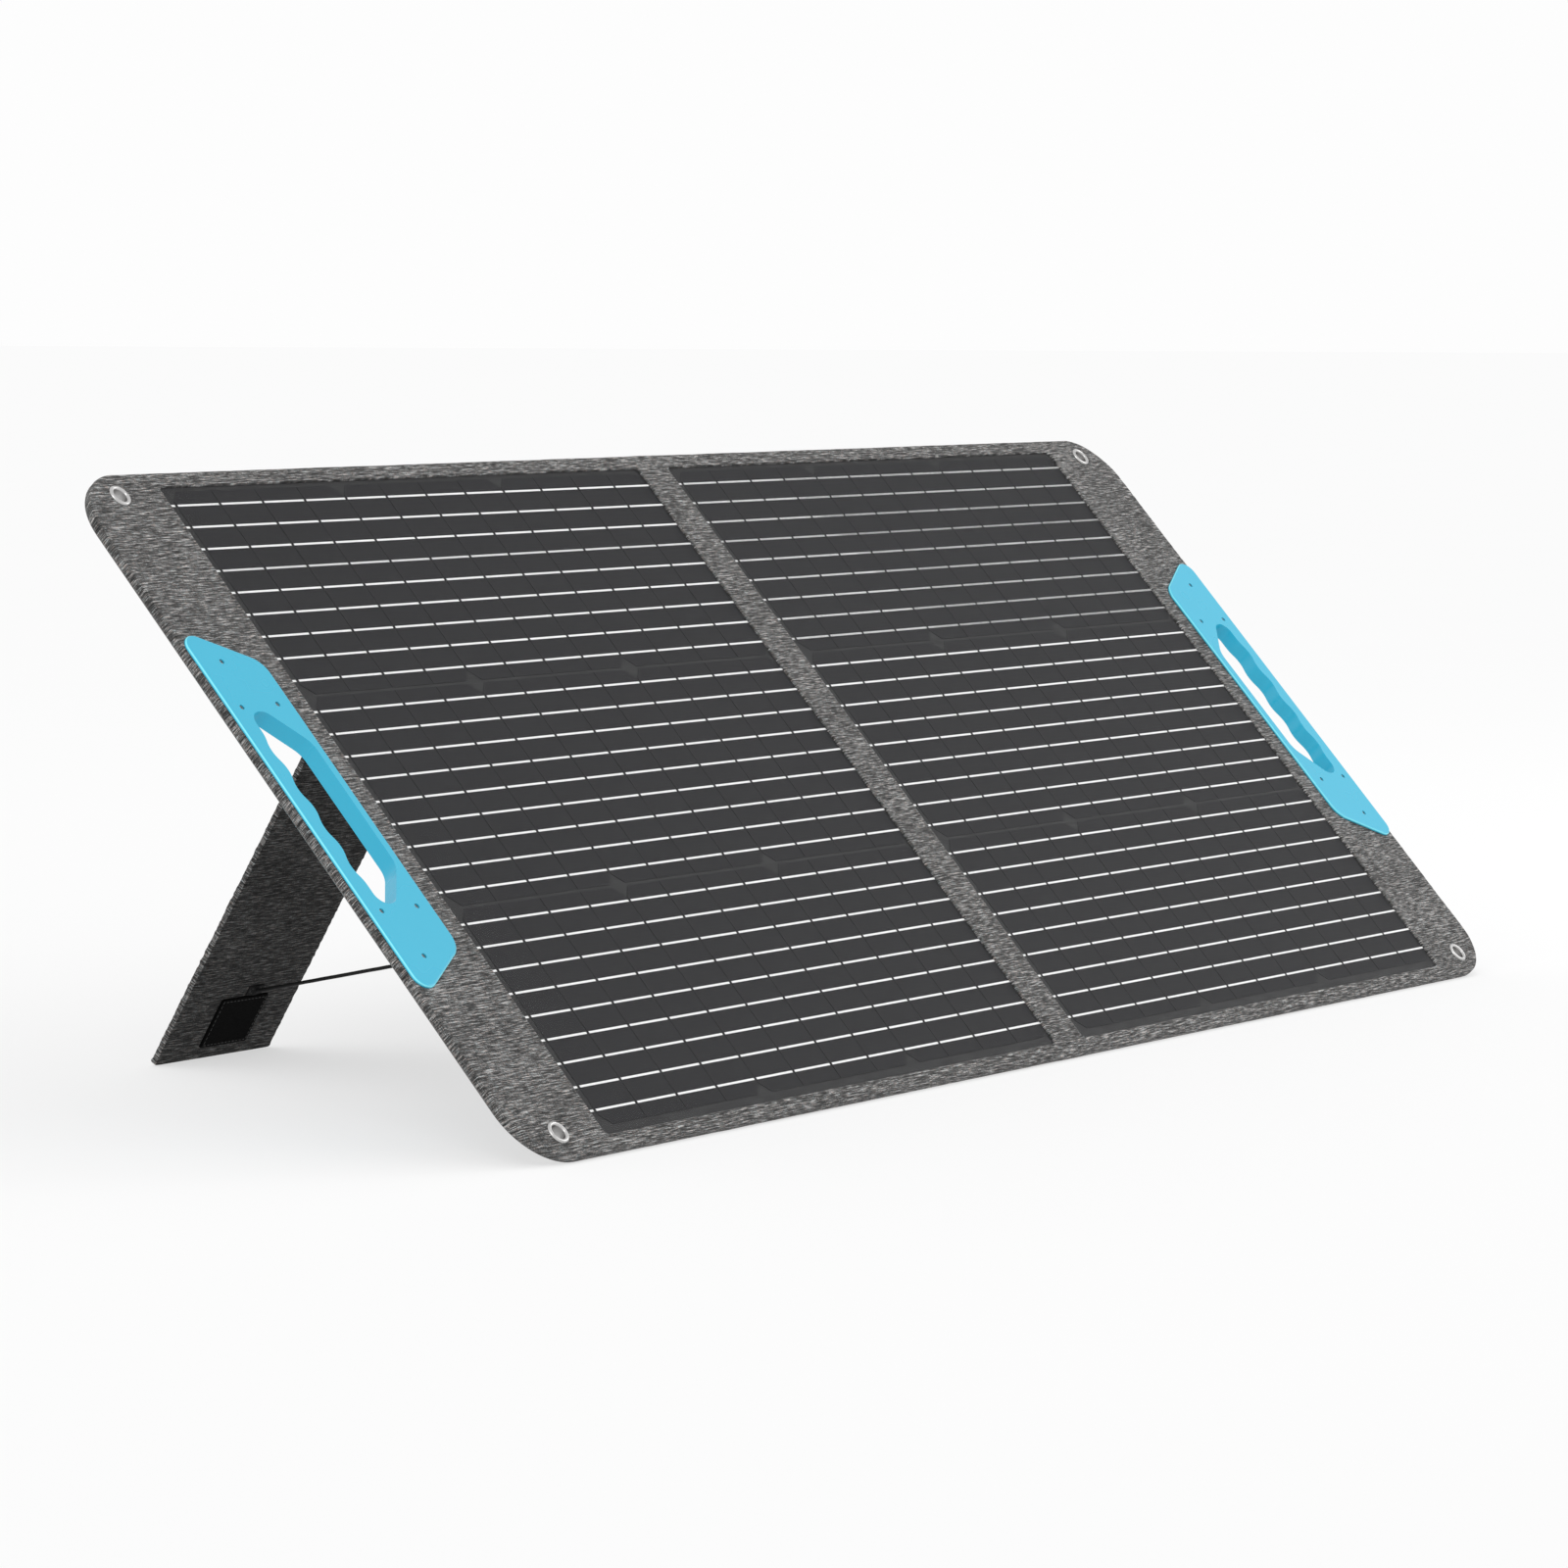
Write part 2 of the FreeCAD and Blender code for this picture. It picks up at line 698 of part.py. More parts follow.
def grommet(y):
    """Rolled eyelet through the leaf, and the washer that it is curled over at the back."""
    seat = LEAF_BACK - GROMMET_WASHER
    curl = seat - GROMMET_CURL
    curl_edge = GROMMET_BARREL + GROMMET_CURL_WIDTH
    points = [
        (GROMMET_BORE, COVER_FACE - GROMMET_LIP),
        (GROMMET_BORE, curl),
        (curl_edge, curl),
        (curl_edge, seat),
        (GROMMET_BARREL, seat),
        (GROMMET_BARREL, COVER_FACE),
        (GROMMET_RIM, COVER_FACE),
    ]
    corners = [Vector(r, 0, z) for r, z in points]
    edges = [Part.LineSegment(a, b).toShape() for a, b in zip(corners, corners[1:])]
    crown = Vector((GROMMET_BORE + GROMMET_RIM) / 2 + GROMMET_LIP, 0, GROMMET_FACE)
    edges.append(Part.Arc(corners[-1], crown, corners[0]).toShape())
    profile = Part.Face(Part.Wire(edges))
    eyelet = profile.revolve(Vector(0, 0, 0), Z_AXIS, 360)
    barrel = circle(0, 0, GROMMET_BARREL + SCREW_FIT)
    ring = plate(circle(0, 0, GROMMET_RIM), seat, LEAF_BACK, [barrel])
    for piece in (eyelet, ring):
        piece.translate(Vector(GROMMET_X, y, 0))
    return [eyelet, ring]


def grommets():
    """The eyelets of one leaf."""
    return grommet(GROMMET_UP[0]) + grommet(GROMMET_UP[1])


# ---------------------------------------------------------------- kickstand and tether


def loop_patch():
    """Soft half of the touch fastener, on the back of the leaf."""
    low = STAND_FOOT + PATCH_ABOVE_FOOT
    half = PATCH_WIDTH / 2
    face = rectangle(PATCH_X - half, PATCH_X + half, low, low + PATCH_HEIGHT, PATCH_CORNER)
    return plate(face, LEAF_BACK - PATCH_THICK, LEAF_BACK)


def tether_anchor():
    """Sewn tab on the back of the leaf that holds the tether."""
    half = TAB_WIDTH / 2
    low = TETHER_ON_LEAF - TAB_HEIGHT / 2
    face = rectangle(TETHER_X - half, TETHER_X + half, low, low + TAB_HEIGHT, TAB_CORNER)
    return plate(face, LEAF_BACK - TAB_THICK, LEAF_BACK)


def opened(up, out):
    """A stand-frame point (y, z) in the panel frame, with the kickstand open."""
    moved = OPENED.multVec(Vector(0, up, out))
    return moved.y, moved.z


def stand_hinge():
    """Fabric hinge: a tape sewn to the leaf, and the web from it to the top of the kickstand."""
    tape_low = HINGE_UP + HINGE_TAPE_LOW
    web_thick = STAND_SKIN
    top = HINGE_UP - STAND_TOP_GAP
    tape_back = LEAF_BACK - STAND_SKIN
    points = [
        (tape_low, LEAF_BACK),
        (tape_low + HINGE_TAPE_UP, LEAF_BACK),
        (tape_low + HINGE_TAPE_UP, tape_back),
        (tape_low + web_thick, tape_back),
        opened(top, STAND_BACK),
        opened(top, STAND_BACK + STAND_SKIN),
        (tape_low, tape_back),
    ]
    corners = [Vector(STAND_INNER, y, z) for y, z in points]
    wire = Part.makePolygon(corners + [corners[0]])
    return Part.Face(wire).extrude(Vector(STAND_OUTER - STAND_INNER, 0, 0))


def stand_outline(inset=0.0):
    """Outline of a kickstand in the stand frame."""
    low = STAND_FOOT + inset
    high = HINGE_UP - STAND_TOP_GAP - inset
    radius = STAND_CORNER - inset
    return rectangle(STAND_INNER + inset, STAND_OUTER - inset, low, high, radius)


def stand_board():
    """Stiff board inside the kickstand."""
    return plate(stand_outline(STAND_SKIN), STAND_BACK + STAND_SKIN, STAND_FACE - STAND_SKIN)


def stand_inner_cover():
    """Fabric on the face that folds against the leaf."""
    return plate(stand_outline(), STAND_FACE - STAND_SKIN, STAND_FACE)


def stand_outer_cover():
    """Fabric on the outer face and round the sides."""
    shell = plate(stand_outline(), STAND_BACK, STAND_FACE - STAND_SKIN)
    return shell.cut(stand_board())


def hook_patch():
    """Hooked half of the touch fastener and the sewn tab of the tether, on the inner face."""
    low = STAND_FOOT + PATCH_ABOVE_FOOT
    half = PATCH_WIDTH / 2
    face = rectangle(PATCH_X - half, PATCH_X + half, low, low + PATCH_HEIGHT, PATCH_CORNER)
    patch = plate(face, STAND_FACE, STAND_FACE + PATCH_THICK)
    tab_half = TAB_WIDTH / 2
    tab_low = low + PATCH_HEIGHT + TAB_GAP
    tab_high = tab_low + TAB_HEIGHT
    tab = rectangle(TETHER_X - tab_half, TETHER_X + tab_half, tab_low, tab_high, TAB_CORNER)
    return [patch, plate(tab, STAND_FACE, STAND_FACE + TAB_THICK)]


def tether():
    """Taut cord from the back of the leaf to the kickstand."""
    on_leaf = Vector(TETHER_X, TETHER_ON_LEAF, LEAF_BACK - TETHER_OFF_FACE)
    up, out = opened(STAND_FOOT + TETHER_ABOVE_FOOT, STAND_FACE + TETHER_OFF_FACE)
    return rod(on_leaf, Vector(TETHER_X, up, out), TETHER_DIAMETER / 2)


# ---------------------------------------------------------------- spine


def spine_strip():
    """Fabric strip at the back that the two leaves fold about."""
    face = LEAF_BACK - SPINE_THICK
    return block(-SPINE_HALF, SPINE_HALF, SPINE_BOTTOM, SPINE_TOP, face, LEAF_BACK)


def spine_front_strip():
    """Cover fabric that bridges the gap at the front."""
    return block(-LEAF_INNER, LEAF_INNER, LEAF_BOTTOM, LEAF_TOP, FILM_FACE, COVER_FACE)


def spine_cables():
    """Two flat flexible leads that join the laminates."""
    low = CABLE_FACE - CABLE_THICK
    return [
        block(-LEAF_INNER, LEAF_INNER, up, up + CABLE_WIDTH, low, CABLE_FACE) for up in CABLE_UP
    ]


# ---------------------------------------------------------------- junction box


def box_outline(inset=0.0):
    """Outline of the junction box."""
    radius = BOX_CORNER - inset
    return rectangle(
        BOX_LEFT + inset, BOX_RIGHT - inset, BOX_LOW + inset, BOX_HIGH - inset, radius
    )


def box_screw_places():
    """The four corners where the lid is screwed down."""
    xs = (BOX_LEFT + BOX_SCREW_INSET, BOX_RIGHT - BOX_SCREW_INSET)
    ys = (BOX_LOW + BOX_SCREW_INSET, BOX_HIGH - BOX_SCREW_INSET)
    return [(x, y) for x in xs for y in ys]


def along_y(x, z, start, end, radius):
    """Cylinder up the slope of the panel."""
    return rod(Vector(x, start, z), Vector(x, end, z), radius)


def along_pin(start, end, radius):
    """Cylinder on the line of the port cover's pin, from and to distances along x from the socket."""
    left = Vector(SOCKET_X + start, COVER_PIN_UP, COVER_PIN_Z)
    right = Vector(SOCKET_X + end, COVER_PIN_UP, COVER_PIN_Z)
    return rod(left, right, radius)


def cover_ear(start, end):
    """One of the two ears on the tray that hold the port cover's pin."""
    left = SOCKET_X + start
    right = SOCKET_X + end
    low = COVER_PIN_Z - KNUCKLE
    arm = block(left, right, COVER_PIN_UP, BOX_LOW - EAR_OFF_LID, low, COVER_PIN_Z + KNUCKLE)
    foot_near = BOX_LOW - EAR_FOOT
    foot = block(left, right, foot_near, BOX_LOW + EAR_ROOT, BOX_RIM, BOX_RIM + EAR_FOOT)
    return arm.fuse(foot).fuse(along_pin(start, end, KNUCKLE))


def box_base():
    """Tray of the junction box, with its screw posts and the ears for the port cover."""
    inside = LEAF_BACK - BOX_FLOOR
    tray = plate(box_outline(), BOX_RIM, LEAF_BACK)
    tray = tray.cut(plate(box_outline(BOX_WALL), BOX_RIM, inside))
    hole = BOX_SCREW + SCREW_FIT
    depth = BOX_RIM + BOX_SCREW_REACH
    for x, y in box_screw_places():
        tray = tray.fuse(plate(circle(x, y, BOX_POST), BOX_RIM, inside))
        tray = tray.cut(plate(circle(x, y, hole), BOX_RIM, depth))
    for start, end in ((-EAR_OUTER, -EAR_INNER), (EAR_INNER, EAR_OUTER)):
        tray = tray.fuse(cover_ear(start, end))
    port = along_y(SOCKET_X, SOCKET_Z, BOX_LOW, BOX_LOW + BOX_WALL, SOCKET_RADIUS + SOCKET_FIT)
    return tray.cut(port).cut(along_pin(-EAR_OUTER, EAR_OUTER, COVER_PIN)).removeSplitter()


def box_gasket():
    """Seal between the tray and the lid."""
    inner = box_outline(BOX_WALL - GASKET_INSET)
    return plate(box_outline(GASKET_INSET), BOX_RIM - GASKET_THICK, BOX_RIM, [inner])


def lid_levels():
    """Outer and inner face of the lid."""
    inner = BOX_RIM - GASKET_THICK
    return inner - LID_THICK, inner


def box_lid():
    """Lid, with the screw heads let into it."""
    outer, inner = lid_levels()
    seat = outer + BOX_SCREW_SINK + BOX_SCREW_HEAD_HEIGHT
    lid = plate(box_outline(), outer, inner)
    lid = lid.makeFillet(LID_EDGE, edges_at(lid, outer))
    for x, y in box_screw_places():
        lid = lid.cut(plate(circle(x, y, BOX_SCREW + SCREW_PLAY), outer, inner))
        lid = lid.cut(plate(circle(x, y, BOX_SCREW_HEAD + SCREW_PLAY), outer, seat))
    return lid


def box_screws():
    """Lid screws with cross slots."""
    top = lid_levels()[0] + BOX_SCREW_SINK
    seat = top + BOX_SCREW_HEAD_HEIGHT
    screws = []
    for x, y in box_screw_places():
        head = plate(circle(x, y, BOX_SCREW_HEAD), top, seat)
        for wide, tall in ((CROSS_REACH, CROSS_HALF), (CROSS_HALF, CROSS_REACH)):
            bar = block(x - wide, x + wide, y - tall, y + tall, top, top + CROSS_DEPTH)
            head = head.cut(bar)
        shank = plate(circle(x, y, BOX_SCREW), seat, BOX_RIM + BOX_SCREW_REACH - SCREW_TIP_GAP)
        screws.append(head.fuse(shank).removeSplitter())
    return screws


def rail_levels():
    """Lower left corner of the rail's place, and the z of its back and face."""
    floor = LEAF_BACK - BOX_FLOOR
    return BOX_LEFT, BOX_LOW + RAIL_UP, floor, floor - RAIL_THICK


def terminal_rail():
    """Insulated rail that the laminates' leads are soldered to."""
    left, low, back, face = rail_levels()
    rail = block(left + RAIL_INSET, BOX_RIGHT - RAIL_INSET, low, low + RAIL_HEIGHT, face, back)
    near = low + (RAIL_HEIGHT - TERMINAL) / 2
    for offset in TERMINALS:
        start = left + offset
        end = start + TERMINAL
        rail = rail.fuse(block(start, end, near, near + TERMINAL, face - TERMINAL_TALL, face))
    return rail.removeSplitter()


def bypass_diodes():
    """Diodes between the rail's terminals, each with its two leads."""
    left, low, _, face = rail_levels()
    y = low + RAIL_HEIGHT / 2
    z = face - DIODE_RADIUS
    diodes = []
    for offset, following in zip(TERMINALS, TERMINALS[1:]):
        start = left + offset + TERMINAL
        end = left + following
        spare = (end - start - DIODE_LENGTH) / 2
        body = rod(Vector(start + spare, y, z), Vector(end - spare, y, z), DIODE_RADIUS)
        leads = rod(Vector(start, y, z), Vector(end, y, z), DIODE_LEAD)
        diodes.append(body.fuse(leads).removeSplitter())
    return diodes


def output_socket():
    """Round socket that a power lead plugs into, with its nut inside the box."""
    body = along_y(SOCKET_X, SOCKET_Z, SOCKET_MOUTH, SOCKET_INSIDE, SOCKET_RADIUS)
    start = BOX_LOW + BOX_WALL + NUT_GAP
    nut = along_y(SOCKET_X, SOCKET_Z, start, start + NUT_THICK, SOCKET_RADIUS + NUT_RIM)
    bore = along_y(SOCKET_X, SOCKET_Z, SOCKET_MOUTH, SOCKET_MOUTH + SOCKET_DEPTH, SOCKET_BORE)
    return body.fuse(nut).cut(bore).removeSplitter()


def port_cover():
    """Hinged cover over the mouth of the socket."""
    near = COVER_PIN_UP - COVER_THICK / 2
    far = COVER_PIN_UP + COVER_THICK / 2
    left = SOCKET_X - COVER_HALF
    right = SOCKET_X + COVER_HALF
    flap = block(left, right, near, far, COVER_PIN_Z, LEAF_BACK - COVER_OFF_LEAF)
    cover = flap.fuse(along_pin(-COVER_HALF, COVER_HALF, KNUCKLE))
    pin = along_pin(-COVER_HALF, COVER_HALF, COVER_PIN + COVER_PIN_PLAY)
    return cover.cut(pin).removeSplitter()


def cover_pin():
    """Hinge pin of the port cover."""
    return along_pin(-EAR_OUTER, EAR_OUTER, COVER_PIN)


# ---------------------------------------------------------------- writing the nodes


def write_leaf(side, turn, window_left):
    """Writes the nodes of one leaf. turn mirrors a piece for the left leaf."""
    pieces = {
        "front_cover": [front_cover()],
        "back_cover": [back_cover()],
        "edge_band": [edge_band()],
        "bottom_hem": [bottom_hem()],
        "core_board": [core_board()],
        "grip_board": [grip_board()],
        "foam_strips": foam_strips(),
        "back_sheet": [back_sheet()],
        "front_film": [front_film()],
        "handle_front": [handle_front()],
        "handle_back": [handle_back()],
        "handle_screws": handle_screws(),
        "grommets": grommets(),
        "loop_patch": [loop_patch()],
        "tether_anchor": [tether_anchor()],
        "stand_hinge": [stand_hinge()],
        "tether": [tether()],
    }
    for name, shapes in pieces.items():
        save(f"{side}_{name}", [turn(shape) for shape in shapes], PANEL)
    save(f"{side}_solar_cells", solar_cells(window_left), PANEL)
    save(f"{side}_busbar_ribbons", busbar_ribbons(window_left), PANEL)


def write_stand(side, turn):
    """Writes the nodes of one kickstand, opened on its hinge."""
    pieces = {
        "stand_board": [stand_board()],
        "stand_inner_cover": [stand_inner_cover()],
        "stand_outer_cover": [stand_outer_cover()],
        "hook_patch": hook_patch(),
    }
    for name, shapes in pieces.items():
        save(f"{side}_{name}", [turn(shape) for shape in shapes], STAND)


def write_middle():
    """Writes the spine and the junction box."""
    save("spine_strip", [spine_strip()], PANEL)
    save("spine_front_strip", [spine_front_strip()], PANEL)
    save("spine_cables", spine_cables(), PANEL)
    save("box_base", [box_base()], PANEL)
    save("box_gasket", [box_gasket()], PANEL)
    save("box_lid", [box_lid()], PANEL)
    save("box_screws", box_screws(), PANEL)
    save("terminal_rail", [terminal_rail()], PANEL)
    save("bypass_diodes", bypass_diodes(), PANEL)
    save("output_socket", [output_socket()], PANEL)
    save("port_cover", [port_cover()], HUNG)
    save("cover_pin", [cover_pin()], PANEL)


def unturned(shape):
    """A piece of the right leaf, as it is."""
    return shape


os.makedirs(OUT, exist_ok=True)
write_leaf("right", unturned, WINDOW_INNER)
write_leaf("left", mirrored, -WINDOW_INNER - WINDOW)
write_stand("right", unturned)
write_stand("left", mirrored)
write_middle()
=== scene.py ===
import json
import math

import bmesh
import bpy
import numpy as np
from mathutils import Matrix, Vector, kdtree, noise
from mathutils.geometry import delaunay_2d_cdt


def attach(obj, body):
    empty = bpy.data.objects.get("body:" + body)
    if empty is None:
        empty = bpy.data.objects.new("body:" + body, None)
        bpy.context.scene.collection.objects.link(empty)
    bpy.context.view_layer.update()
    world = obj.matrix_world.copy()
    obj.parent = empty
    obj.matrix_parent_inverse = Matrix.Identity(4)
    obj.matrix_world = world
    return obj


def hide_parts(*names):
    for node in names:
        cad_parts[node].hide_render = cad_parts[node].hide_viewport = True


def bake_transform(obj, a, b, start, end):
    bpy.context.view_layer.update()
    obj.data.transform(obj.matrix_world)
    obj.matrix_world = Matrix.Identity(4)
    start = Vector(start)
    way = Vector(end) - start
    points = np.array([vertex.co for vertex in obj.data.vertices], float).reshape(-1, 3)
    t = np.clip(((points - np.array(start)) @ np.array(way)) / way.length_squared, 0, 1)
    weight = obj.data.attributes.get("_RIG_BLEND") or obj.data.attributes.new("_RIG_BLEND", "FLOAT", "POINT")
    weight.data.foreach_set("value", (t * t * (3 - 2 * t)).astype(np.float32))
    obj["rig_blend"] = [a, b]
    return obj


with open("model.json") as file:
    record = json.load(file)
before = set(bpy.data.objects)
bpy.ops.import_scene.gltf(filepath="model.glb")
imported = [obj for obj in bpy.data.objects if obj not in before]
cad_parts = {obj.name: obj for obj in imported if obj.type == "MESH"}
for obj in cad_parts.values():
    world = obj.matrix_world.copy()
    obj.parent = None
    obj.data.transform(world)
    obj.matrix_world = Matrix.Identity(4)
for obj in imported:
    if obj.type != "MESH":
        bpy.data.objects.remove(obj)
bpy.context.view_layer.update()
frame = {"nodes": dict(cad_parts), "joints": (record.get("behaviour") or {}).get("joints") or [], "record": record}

# A two-leaf folding solar panel with a kickstand behind each leaf.
#
# Shapes are drawn in millimetres in one of two frames and placed in the row frame when a piece is
# made. Panel frame: x right, y up the slope, z out of the front, z = 0 on the laminate. Stand
# frame: the panel frame of a kickstand while it lies folded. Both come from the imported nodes.

MM = 0.001
NODES = frame["nodes"]
JOINTS = {joint["name"]: joint for joint in frame["joints"]}
MOUNTS = {mount["name"]: mount for mount in frame["record"]["mounts"]}
SIDES = (("left", -1), ("right", 1))


def on_both_sides(*makers):
    """Runs each maker for the left side and then for the right one."""
    for name, side in SIDES:
        for make in makers:
            make(name, side)


# ------------ frames


def reach_along(name, direction):
    """Least and greatest reach of a CAD node along a direction, in metres."""
    reaches = [vertex.co.dot(direction) for vertex in NODES[name].data.vertices]
    return min(reaches), max(reaches)


FILM_HIDDEN = 4.0  # laminate under the edge of the cover
RIGHT = Vector((1, 0, 0))
UP = -Vector(JOINTS["leaf_fold"]["axis"]).normalized()
OUT = RIGHT.cross(UP)
TILT = math.atan2(UP.z, UP.y)


def panel_frame():
    """Matrix from the panel frame in millimetres to the row frame in metres."""
    up_reach = reach_along("right_front_film", UP)[0] + FILM_HIDDEN * MM
    origin = UP * up_reach + OUT * reach_along("right_front_film", OUT)[1]
    axes = Matrix((RIGHT, UP, OUT)).transposed().to_4x4()
    return Matrix.Translation(origin) @ axes @ Matrix.Scale(MM, 4)


OUT_Z = Vector((0, 0, 1))
PANEL = panel_frame()
HINGE_AT = Vector(JOINTS["left_stand_fold"]["pos_m"])
SWING = -math.radians(JOINTS["left_stand_fold"]["range_deg"][0])
STAND = (
    Matrix.Translation(HINGE_AT)
    @ Matrix.Rotation(SWING, 4, "X")
    @ Matrix.Translation(-HINGE_AT)
    @ PANEL
)


def extent(name, placed=PANEL):
    """Lowest and highest corner of a CAD node, in millimetres in the frame that placed gives."""
    back = placed.inverted()
    points = np.array([back @ vertex.co for vertex in NODES[name].data.vertices])
    return points.min(0), points.max(0)


def panel_point(place):
    """A point of the row frame in the panel frame, in millimetres."""
    return PANEL.inverted() @ Vector(place)


EDGE_LOW, EDGE_HIGH = extent("right_edge_band")
COVER_FACE = extent("right_front_cover")[1][2]
INNER = EDGE_LOW[0]
OUTER = EDGE_HIGH[0]
BOTTOM = EDGE_LOW[1]
TOP = EDGE_HIGH[1]
BACK = EDGE_LOW[2]
CORNER = 43.0  # corner radius of a leaf
BACK_ROUND = 3.0  # rounding of its edge at the back
FILM_LOW, FILM_HIGH = extent("right_front_film")
WINDOW = (FILM_LOW[0] + FILM_HIDDEN, 0.0, FILM_HIGH[0] - FILM_HIDDEN, FILM_HIGH[1] - FILM_HIDDEN)
HANDLE_LOW, HANDLE_HIGH = extent("right_handle_front")
HANDLE_MID = (HANDLE_LOW[1] + HANDLE_HIGH[1]) / 2
HINGE = panel_point(HINGE_AT)
OUTER_SLEEVE = extent("right_stand_outer_cover", STAND)
INNER_SLEEVE = extent("right_stand_inner_cover", STAND)
STAND_LOW = np.minimum(OUTER_SLEEVE[0], INNER_SLEEVE[0])
STAND_HIGH = np.maximum(OUTER_SLEEVE[1], INNER_SLEEVE[1])
FOLD_X = abs(panel_point(JOINTS["leaf_fold"]["pos_m"]).x)
GROMMETS = [
    panel_point(MOUNTS[f"right_{height}_grommet"]["pos_m"]).to_2d() for height in ("low", "high")
]

# ------------ camera

CAMERA_AT = Vector((-3.2427, -2.2124, 0.5010))
CAMERA_LOOKS = Vector((0.8240, 0.5605, -0.0830))
LENS = 130.13  # millimetres, as is the sensor
SENSOR = 36.0


def show(name, data):
    """An object with the given data, put in the scene."""
    made = bpy.data.objects.new(name, data)
    bpy.context.scene.collection.objects.link(made)
    return made


def aim(thing, place, direction):
    """Puts a camera or a light at a place, turned in a direction."""
    thing.location = place
    thing.rotation_mode = "QUATERNION"
    thing.rotation_quaternion = direction.to_track_quat("-Z", "Y")


def make_camera():
    """The camera at the viewing angle of the reference."""
    data = bpy.data.cameras.new("camera")
    data.lens = LENS
    data.sensor_width = SENSOR
    camera = show("camera", data)
    aim(camera, CAMERA_AT, CAMERA_LOOKS)
    bpy.context.scene.camera = camera


make_camera()

# ------------ materials


def new_material(name, **sockets):
    """A material, its node tree and its main shader with the given socket values."""
    made = bpy.data.materials.new(name)
    made.use_nodes = True
    shader = made.node_tree.nodes["Principled BSDF"]
    for socket, value in sockets.items():
        shader.inputs[socket.replace("_", " ")].default_value = value
    return made, made.node_tree, shader


def add(tree, kind, inputs=None, **settings):
    """A node with settings, and with inputs that are values or other nodes' outputs."""
    made = tree.nodes.new(kind)
    for key, value in settings.items():
        setattr(made, key, value)
    for key, value in (inputs or {}).items():
        if isinstance(value, bpy.types.NodeSocket):
            tree.links.new(value, made.inputs[key])
        else:
            made.inputs[key].default_value = value
    return made


def maths(tree, operation, first, second=0.0, third=0.0):
    """Output of a maths node."""
    inputs = {0: first, 1: second, 2: third}
    return add(tree, "ShaderNodeMath", inputs, operation=operation).outputs[0]


def scaled(tree, vector, scale):
    """A vector output, stretched along its axes."""
    return add(tree, "ShaderNodeVectorMath", {0: vector, 1: scale}, operation="MULTIPLY").outputs[0]


def noisy(tree, vector, scale, detail=2.0, rough=0.5):
    """Output of a noise texture stretched along its axes, about 0.5 on the whole."""
    inputs = {"Vector": scaled(tree, vector, scale), "Scale": 1.0}
    inputs |= {"Detail": detail, "Roughness": rough}
    return add(tree, "ShaderNodeTexNoise", inputs).outputs["Fac"]


def ramp(tree, value, stops):
    """Colour output of a ramp through (position, colour) stops."""
    made = add(tree, "ShaderNodeValToRGB", {"Fac": value})
    elements = made.color_ramp.elements
    while len(elements) < len(stops):
        elements.new(0.5)
    for element, (position, colour) in zip(elements, stops):
        element.position = position
        element.color = (*colour, 1.0)
    return made.outputs["Color"]


def tinted(tree, colour, tint):
    """One colour output times another."""
    inputs = {0: 1.0, 6: colour, 7: tint}
    made = add(tree, "ShaderNodeMix", inputs, data_type="RGBA", blend_type="MULTIPLY")
    return made.outputs[2]


def coloured(tree, shader, value, stops):
    """Base colour from a ramp through (position, colour) stops."""
    tree.links.new(ramp(tree, value, stops), shader.inputs["Base Color"])


def roughened(tree, shader, value, low, high, start=0.0, end=1.0):
    """Roughness that runs from low to high while a value runs from start to end."""
    inputs = {0: value, 1: start, 2: end, 3: low, 4: high}
    rough = add(tree, "ShaderNodeMapRange", inputs).outputs[0]
    tree.links.new(rough, shader.inputs["Roughness"])


def relief(tree, shader, height, depth, strength=1.0):
    """Bump on a shader, depth in metres."""
    inputs = {"Height": height, "Distance": depth, "Strength": strength}
    made = add(tree, "ShaderNodeBump", inputs)
    tree.links.new(made.outputs["Normal"], shader.inputs["Normal"])


def grey(level, warm=0.0):
    """A grey, slightly warm or cool."""
    return (level * (1 + warm), level, level * (1 - warm))


def cloth_place(tree):
    """Where a point lies on the flat cloth, in metres."""
    return add(tree, "ShaderNodeUVMap", uv_map="cloth").outputs["UV"]


def body_place(tree, turn=0.0):
    """Where a point of a CAD node lies, in metres, with y and z along the panel."""
    place = add(tree, "ShaderNodeTexCoord").outputs["Object"]
    inputs = {"Vector": place, "Rotation": (-turn, 0.0, 0.0)}
    return add(tree, "ShaderNodeMapping", inputs).outputs["Vector"]


# Lengths in materials are metres.
THREAD = 0.00075  # pitch of the threads
PLAIT = 0.0016  # pitch of the plaits of a cord
FINGER_PITCH = 0.0016  # pitch of the collector fingers of a cell
SLUB_DRIFT = 0.0012  # how far slubs wander across their run
ABOVE_MIDDLE = 1.9  # mean of the summed slubs and specks above the middle of their ramp
PAINTED_SHADE_LEVEL = 0.40  # painted shade: how light a kickstand's face towards the leaf is made beside the rest of its fabric
WHITE = (1.0, 1.0, 1.0)


def weave_height(tree, place, pitch):
    """Height of a plain weave, from 0 to 1."""
    parts = add(tree, "ShaderNodeSeparateXYZ", {0: place}).outputs
    turn = 2 * math.pi / pitch
    across = maths(tree, "SINE", maths(tree, "MULTIPLY", parts[0], turn))
    along = maths(tree, "SINE", maths(tree, "MULTIPLY", parts[1], turn))
    return maths(tree, "MULTIPLY_ADD", maths(tree, "MULTIPLY", across, along), 0.5, 0.5)


